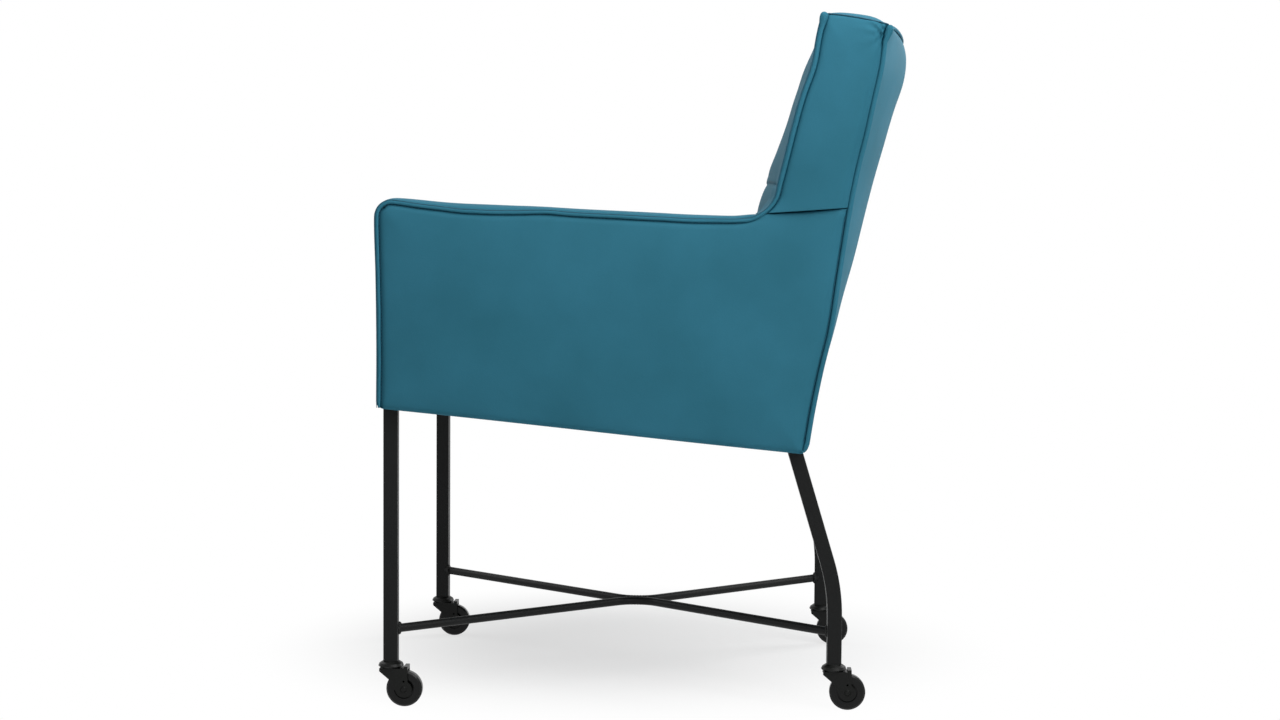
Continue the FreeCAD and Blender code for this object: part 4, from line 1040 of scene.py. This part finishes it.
class ARMCHAIR_OT_welts(bpy.types.Operator):
    """Sews the leather welts along the edges of the panels"""
    bl_idname = "armchair.welts"
    bl_label = "Welts"

    def execute(self, context):
        sizes = cover()
        foot, top_front, top_rear = sizes.rear_foot, sizes.top_front, sizes.top_rear
        first, last, seat_front = back_front(top_front), back_rear(top_rear), front_edge(SEAT_LEVEL)
        outline = side_welt_line()
        line, swells = ear(outline, top_front - FRONT_EAR_DROP, FRONT_EAR, sizes.welt, fullness)
        side = tube("welt_side_left", outer_points(line, inset=0.0006), sizes.welt, [END_SWELL] + swells[1:])
        rear_line = [(back_rear(z), z) for z in steps_between(foot + REAR_START, top_rear, 60)]
        line, swells = ear(rear_line, top_rear - REAR_EAR_DROP, REAR_EAR, sizes.rear_welt, lambda height: 1)
        line = [(back_rear(foot) + ahead, foot + lift) for ahead, lift, _ in HEEL] + line
        swells = [thick for _, _, thick in HEEL] + swells
        rear = tube("welt_rear_left", outer_points(line, inset=0.0022), sizes.rear_welt, swells)
        on_arm = [in_frame(inner_x(d) + INNER_SUNK, d, z) for d, z in outline if d < INNER_END]
        inner = tube("welt_inner_left", on_arm, sizes.welt)
        points = cross_points(outer_x(first) - SIDE_SHORT, lambda share: (
            first - FRONT_AHEAD + FRONT_BOW * (1 - share ** 2) + far_side(share, top_front),
            top_front + FRONT_LIFT - FRONT_DROP * share ** 20))
        upper_front = tube("welt_top_front", points, sizes.welt * TOP_WELT)
        points = cross_points(outer_x(last) - SIDE_SHORT, lambda share: (
            rear_face(share, top_rear) - REAR_SUNK, top_rear - top_sag(share) - REAR_DROP * share ** 20))
        upper_rear = tube("welt_top_rear", points, sizes.welt)
        points = cross_points(inner_x(seat_front) - ARM_SHORT,
                              lambda share: (seat_front + SEAT_BEHIND, deck_top(seat_front) - SEAT_BELOW))
        seat = tube("welt_seat_front", points, sizes.welt * SEAT_WELT)
        line = []
        for share in steps_between(0, 1, 30):
            arch = TOP_ARCH * (1 - (2 * share - 1) ** 2)
            line.append((mix(first + SEAM_SHORT, last - SEAM_SHORT, share),
                         mix(top_front, top_rear, share) + SEAM_LIFT + arch))
        seam = tube("seam_top_left", outer_points(line, inset=0.0012), thickness=0.0016)
        line = [(d, z) for d, z in beside(outline, -SEAM_ASIDE) if z < top_front - SEAM_STOP]
        upper = tube("seam_side_left", outer_points(line, inset=0.0004), thickness=0.0014)
        lefts = [side, rear, inner, seam, upper]
        copies = [mirrored(piece) for piece in lefts]
        for piece in copies:
            straighten(piece)
        for piece in lefts + [upper_front, upper_rear, seat] + copies:
            finish = "sewing_thread" if piece.name.startswith("seam") else "dyed_leather"
            finished(piece, finish, "chair", levels=0, sharp=60)
        return {"FINISHED"}


# Stitches
# A row's distance from its welt as a share of the welt, and its lift off the leather
ROW_ASIDE, ROW_LIFT = 0.62, 0.0003
# The rear row's start above the foot, its last height, its depth in the face and its distance from the rear edge
ROW_START, ROW_TOP, ROW_SUNK, ROW_EDGE = 0.012, 0.685, 0.0002, 0.0048


def evenly(line, pitch):
    """Places (point, direction) at an even pitch along a line of points."""
    places, carried = [], 0
    for start, end in zip(line, line[1:]):
        run = end - start
        while carried < run.length:
            places.append((start + run * (carried / run.length), run.normalized()))
            carried += pitch
        carried -= run.length
    return places


def stitch_row(name, line):
    """A row of small stitches along a line: one is shaped from a ball and copied."""
    sizes = cover()
    deselect()
    bpy.ops.mesh.primitive_uv_sphere_add(segments=6, ring_count=4, radius=sizes.thread / 2)
    stitch = bpy.context.object
    stitch.data.transform(Matrix.Diagonal((1, 1, sizes.stitch / sizes.thread, 1)))
    row = bmesh.new()
    for point, direction in evenly(line, sizes.stitch_pitch):
        copy = stitch.data.copy()
        copy.transform(Matrix.Translation(point) @ direction.to_track_quat("Z", "X").to_matrix().to_4x4())
        row.from_mesh(copy)
        bpy.data.meshes.remove(copy)
    stitch.name = stitch.data.name = name
    row.to_mesh(stitch.data)
    row.free()
    return stitch


class ARMCHAIR_OT_stitches(bpy.types.Operator):
    """Sews the rows of stitches beside the welts"""
    bl_idname = "armchair.stitches"
    bl_label = "Stitches"

    def execute(self, context):
        sizes = cover()
        aside = sizes.welt * ROW_ASIDE
        line = beside(side_welt_line()[1:], aside)
        rise = swell_at(sizes.welt_inset + aside) - groove_at(aside) + ROW_LIFT
        side = stitch_row("stitches_side_left", outer_points(line, -rise))
        heights = steps_between(sizes.rear_foot + ROW_START, ROW_TOP, 60)
        points = [in_frame(outer_x(back_rear(z)) - ROW_SUNK, back_rear(z) - ROW_EDGE, z) for z in heights]
        rear = stitch_row("stitches_rear_left", points)
        copies = [mirrored(piece) for piece in (side, rear)]
        straighten(copies[0])
        for piece in [side, rear] + copies:
            finished(piece, "sewing_thread", "chair", levels=0, sharp=80)
        return {"FINISHED"}


# Weld beads
def bar_run(end):
    """The left stretcher's straight run to its front or rear leg: where it leaves the leg, and its direction."""
    sizes = bpy.context.scene.armchair_welds
    leg = FRONT_FOOT if end == "front" else REAR_FOOT
    centre = Vector((sizes.bar / 2 + sizes.bend, FRONT_FOOT.y + sizes.apex))
    reach = Vector((leg.x, leg.y)) - centre
    opening = math.acos(sizes.bend / reach.length) * (-1 if end == "front" else 1)
    angle = math.atan2(reach.y, reach.x) + opening
    touch = centre + sizes.bend * Vector((math.cos(angle), math.sin(angle)))
    run = (touch - Vector((leg.x, leg.y))).normalized()
    start = Vector((leg.x, leg.y)) + run * (sizes.leg / 2 / abs(run.y))
    height = middle("stretcher_left").z
    return Vector((start.x, start.y, height)), run


# Points round a bead, its ripples, their height, and its lift off the bar
BEAD_STEPS, BEAD_WAVES, BEAD_RIPPLE, BEAD_LIFT = 72, 15, 0.16, 0.0005
# The bead at the crossing: half its length, its steps, its ripple and the ripple's turn in a step
CROSSING_REACH, CROSSING_STEPS, CROSSING_RIPPLE, CROSSING_TURN = 0.017, 36, 0.14, 1.4
# Its height as a share of the bar, its thickness in beads, and its ends' share of that
CROSSING_RISE, CROSSING_BEAD, CROSSING_END = 0.3, 1.5, 0.5


class ARMCHAIR_OT_welds(bpy.types.Operator):
    """Lays the weld beads at the ends and the crossing of the stretchers"""
    bl_idname = "armchair.welds"
    bl_label = "Welds"

    def execute(self, context):
        sizes = context.scene.armchair_welds
        beads = []
        radius = sizes.bar / 2 + BEAD_LIFT
        for end in ("front", "rear"):
            start, run = bar_run(end)
            turns = [2 * math.pi * step / BEAD_STEPS for step in range(BEAD_STEPS)]
            points = [start + Vector((radius / abs(run.y) * math.cos(turn), 0, radius * math.sin(turn)))
                      for turn in turns]
            ripple = [1 + BEAD_RIPPLE * math.sin(turn * BEAD_WAVES) for turn in turns]
            beads.append(tube(f"weld_{end}_left", points, sizes.bead, ripple, closed=True))
        beads += [mirrored(bead) for bead in beads]
        height = middle("stretcher_left").z
        for name, lift in (("top", 1), ("under", -1)):
            points = [Vector((0, FRONT_FOOT.y + sizes.apex + along, height + lift * sizes.bar * CROSSING_RISE))
                      for along in steps_between(-CROSSING_REACH, CROSSING_REACH, CROSSING_STEPS)]
            ripple = [1 + CROSSING_RIPPLE * math.sin(step * CROSSING_TURN) for step in range(CROSSING_STEPS + 1)]
            ripple[0] = ripple[-1] = CROSSING_END
            beads.append(tube(f"weld_crossing_{name}", points, sizes.bead * CROSSING_BEAD, ripple))
        for bead in beads:
            finished(bead, "powder_coat", "chair", levels=0, sharp=60)
        return {"FINISHED"}


# Frame and castors
NODE_FINISHES = (
    (("castor_wheel",), "moulded_polyamide"),
    (("castor_fork", "swivel_cap", "swivel_race", "castor_axle", "castor_stem"), "castor_lacquer"),
    (("leg_plug",), "moulded_nylon"),
    (("front_leg", "rear_leg", "stretcher", "side_rail", "front_cross", "rear_cross"), "powder_coat"),
    (("side_board", "seat_deck", "back_board"), "birch_plywood"),
    (("back_top_rail", "back_lower_rail"), "planed_beech"),
    (("seat_bolts",), "zinc_plate"),
)


class ARMCHAIR_OT_frame(bpy.types.Operator):
    """Paints the frame, the castors and the pieces inside the cover"""
    bl_idname = "armchair.frame"
    bl_label = "Frame and castors"

    def execute(self, context):
        for prefixes, material in NODE_FINISHES:
            for name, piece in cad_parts.items():
                if name.startswith(prefixes):
                    piece.data.materials.clear()
                    piece.data.materials.append(finish_of(material))
        return {"FINISHED"}


# Studio
# Where the floor keeps the chair's shadow: from its deepest place, as shares of white at two distances in metres
SHADOW_SHIFT = (0.2, 0.04, 0)
SHADOW_REACH = {"From Min": 0.16, "From Max": 0.62, "To Min": 0.56, "To Max": 1.0, "interpolation_type": "SMOOTHSTEP"}


def seen_share(tree):
    """An output that is 1 where a material or world is seen by the camera, in a reflection or through a piece."""
    path = add_node(tree, "ShaderNodeLightPath", {})
    seen = path.outputs["Is Camera Ray"]
    for ray in ("Is Glossy Ray", "Is Transmission Ray"):
        either = add_node(tree, "ShaderNodeMath", {"operation": "MAXIMUM"}, [(0, seen), (1, path.outputs[ray])])
        seen = either.outputs[0]
    return seen


def studio_floor():
    """A pale floor that is white to the camera away from the chair and keeps the chair's shadow near it."""
    material, place = new_material("studio_floor")
    nodes = material.node_tree.nodes
    nodes.remove(nodes["Principled BSDF"])
    matt = add_node(material, "ShaderNodeBsdfDiffuse", {"Color": linear(finishes().floor)})
    white = add_node(material, "ShaderNodeEmission", {"Strength": 1.0})
    under = add_node(material, "ShaderNodeMapping", {"Location": SHADOW_SHIFT}, [("Vector", place)])
    reach = add_node(material, "ShaderNodeVectorMath", {"operation": "LENGTH"}, [(0, under.outputs[0])])
    fade = add_node(material, "ShaderNodeMapRange", SHADOW_REACH, [("Value", reach.outputs["Value"])])
    share = add_node(material, "ShaderNodeMath", {"operation": "MULTIPLY"},
                     [(0, fade.outputs[0]), (1, seen_share(material))])
    blend = add_node(material, "ShaderNodeMixShader", {},
                     [(0, share.outputs[0]), (1, matt.outputs[0]), (2, white.outputs[0])])
    material.node_tree.links.new(blend.outputs[0], nodes["Material Output"].inputs["Surface"])
    return material


def white_room(strength):
    """A world that is white where it is seen or reflected, and lights the chair at a plain level."""
    world = bpy.data.worlds.new("white_room")
    bpy.context.scene.world = world
    world.use_nodes = True
    shown = world.node_tree.nodes["Background"]
    shown.inputs["Color"].default_value = (1, 1, 1, 1)
    level = ranged(world, seen_share(world), to_min=strength, to_max=1.0)
    world.node_tree.links.new(level, shown.inputs["Strength"])


# Lamps: name, place, what it points at, width in metres, and its power in the studio's setup
LAMPS = (
    ("overhead_softbox", (0.9, 0.5, 2.0), (0, 0.1, 0.6), 2.2, "key_power"),
    ("camera_softbox", (1.7, 1.5, 2.0), (0, 0.1, 0.7), 1.6, "fill_power"),
    ("front_softbox", (-0.6, -2.4, 2.0), (0, 0, 0.6), 1.6, "front_power"),
    ("rear_softbox", (-1.6, 2.4, 1.5), (0, 0.3, 0.7), 1.2, "rim_power"),
)


def softbox(name, place, aim, width, power):
    """A square area lamp that points at a place."""
    bpy.ops.object.light_add(type="AREA", location=place)
    lamp = bpy.context.object
    lamp.name = name
    lamp.data.size = width
    lamp.data.energy = power
    lamp.rotation_euler = (Vector(aim) - Vector(place)).to_track_quat("-Z", "Y").to_euler()


class ARMCHAIR_OT_studio(bpy.types.Operator):
    """Sets the floor, the lamps and the camera"""
    bl_idname = "armchair.studio"
    bl_label = "Studio"

    def execute(self, context):
        setup = context.scene.armchair_studio
        deselect()
        bpy.ops.mesh.primitive_circle_add(vertices=96, radius=12, fill_type="NGON")
        floor = context.object
        floor.name = "studio_floor"
        floor.data.materials.append(studio_floor())
        for name, place, aim, width, power in LAMPS:
            softbox(name, place, aim, width, getattr(setup, power))
        white_room(setup.ambient)
        forward = Vector((-math.cos(setup.yaw) * math.cos(setup.pitch), -math.sin(setup.yaw) * math.cos(setup.pitch),
                          -math.sin(setup.pitch)))
        right = forward.cross(Vector((0, 0, 1))).normalized()
        up = right.cross(forward)
        turned_right = right * math.cos(setup.roll) - up * math.sin(setup.roll)
        turned_up = up * math.cos(setup.roll) + right * math.sin(setup.roll)
        bpy.ops.object.camera_add(location=setup.eye)
        camera = context.object
        camera.rotation_euler = Matrix((turned_right, turned_up, -forward)).transposed().to_euler()
        camera.data.lens = setup.lens
        context.scene.camera = camera
        context.scene.view_settings.view_transform = "Standard"
        return {"FINISHED"}


class ARMCHAIR_PT_panel(bpy.types.Panel):
    """Lists the steps that dress the armchair"""
    bl_idname = "ARMCHAIR_PT_panel"
    bl_label = "Dining armchair"
    bl_space_type = "VIEW_3D"
    bl_region_type = "UI"
    bl_category = "Armchair"

    def draw(self, context):
        for operator in OPERATORS:
            self.layout.operator(operator.bl_idname)


GROUPS = (("armchair_cover", CoverSizes), ("armchair_welds", WeldSizes), ("armchair_finishes", Finishes),
          ("armchair_studio", StudioSetup))
OPERATORS = (ARMCHAIR_OT_arms, ARMCHAIR_OT_back, ARMCHAIR_OT_seat, ARMCHAIR_OT_dust_sheet, ARMCHAIR_OT_welts,
             ARMCHAIR_OT_stitches, ARMCHAIR_OT_welds, ARMCHAIR_OT_frame, ARMCHAIR_OT_studio)


def register():
    for name, group in GROUPS:
        bpy.utils.register_class(group)
        setattr(bpy.types.Scene, name, bpy.props.PointerProperty(type=group))
    for operator in OPERATORS:
        bpy.utils.register_class(operator)
    bpy.utils.register_class(ARMCHAIR_PT_panel)


def unregister():
    bpy.utils.unregister_class(ARMCHAIR_PT_panel)
    for operator in reversed(OPERATORS):
        bpy.utils.unregister_class(operator)
    for name, group in reversed(GROUPS):
        delattr(bpy.types.Scene, name)
        bpy.utils.unregister_class(group)


def main():
    register()
    bpy.ops.armchair.arms()
    bpy.ops.armchair.back()
    bpy.ops.armchair.seat()
    bpy.ops.armchair.dust_sheet()
    bpy.ops.armchair.welts()
    bpy.ops.armchair.stitches()
    bpy.ops.armchair.welds()
    bpy.ops.armchair.frame()
    bpy.ops.armchair.studio()


if __name__ == "__main__":
    main()
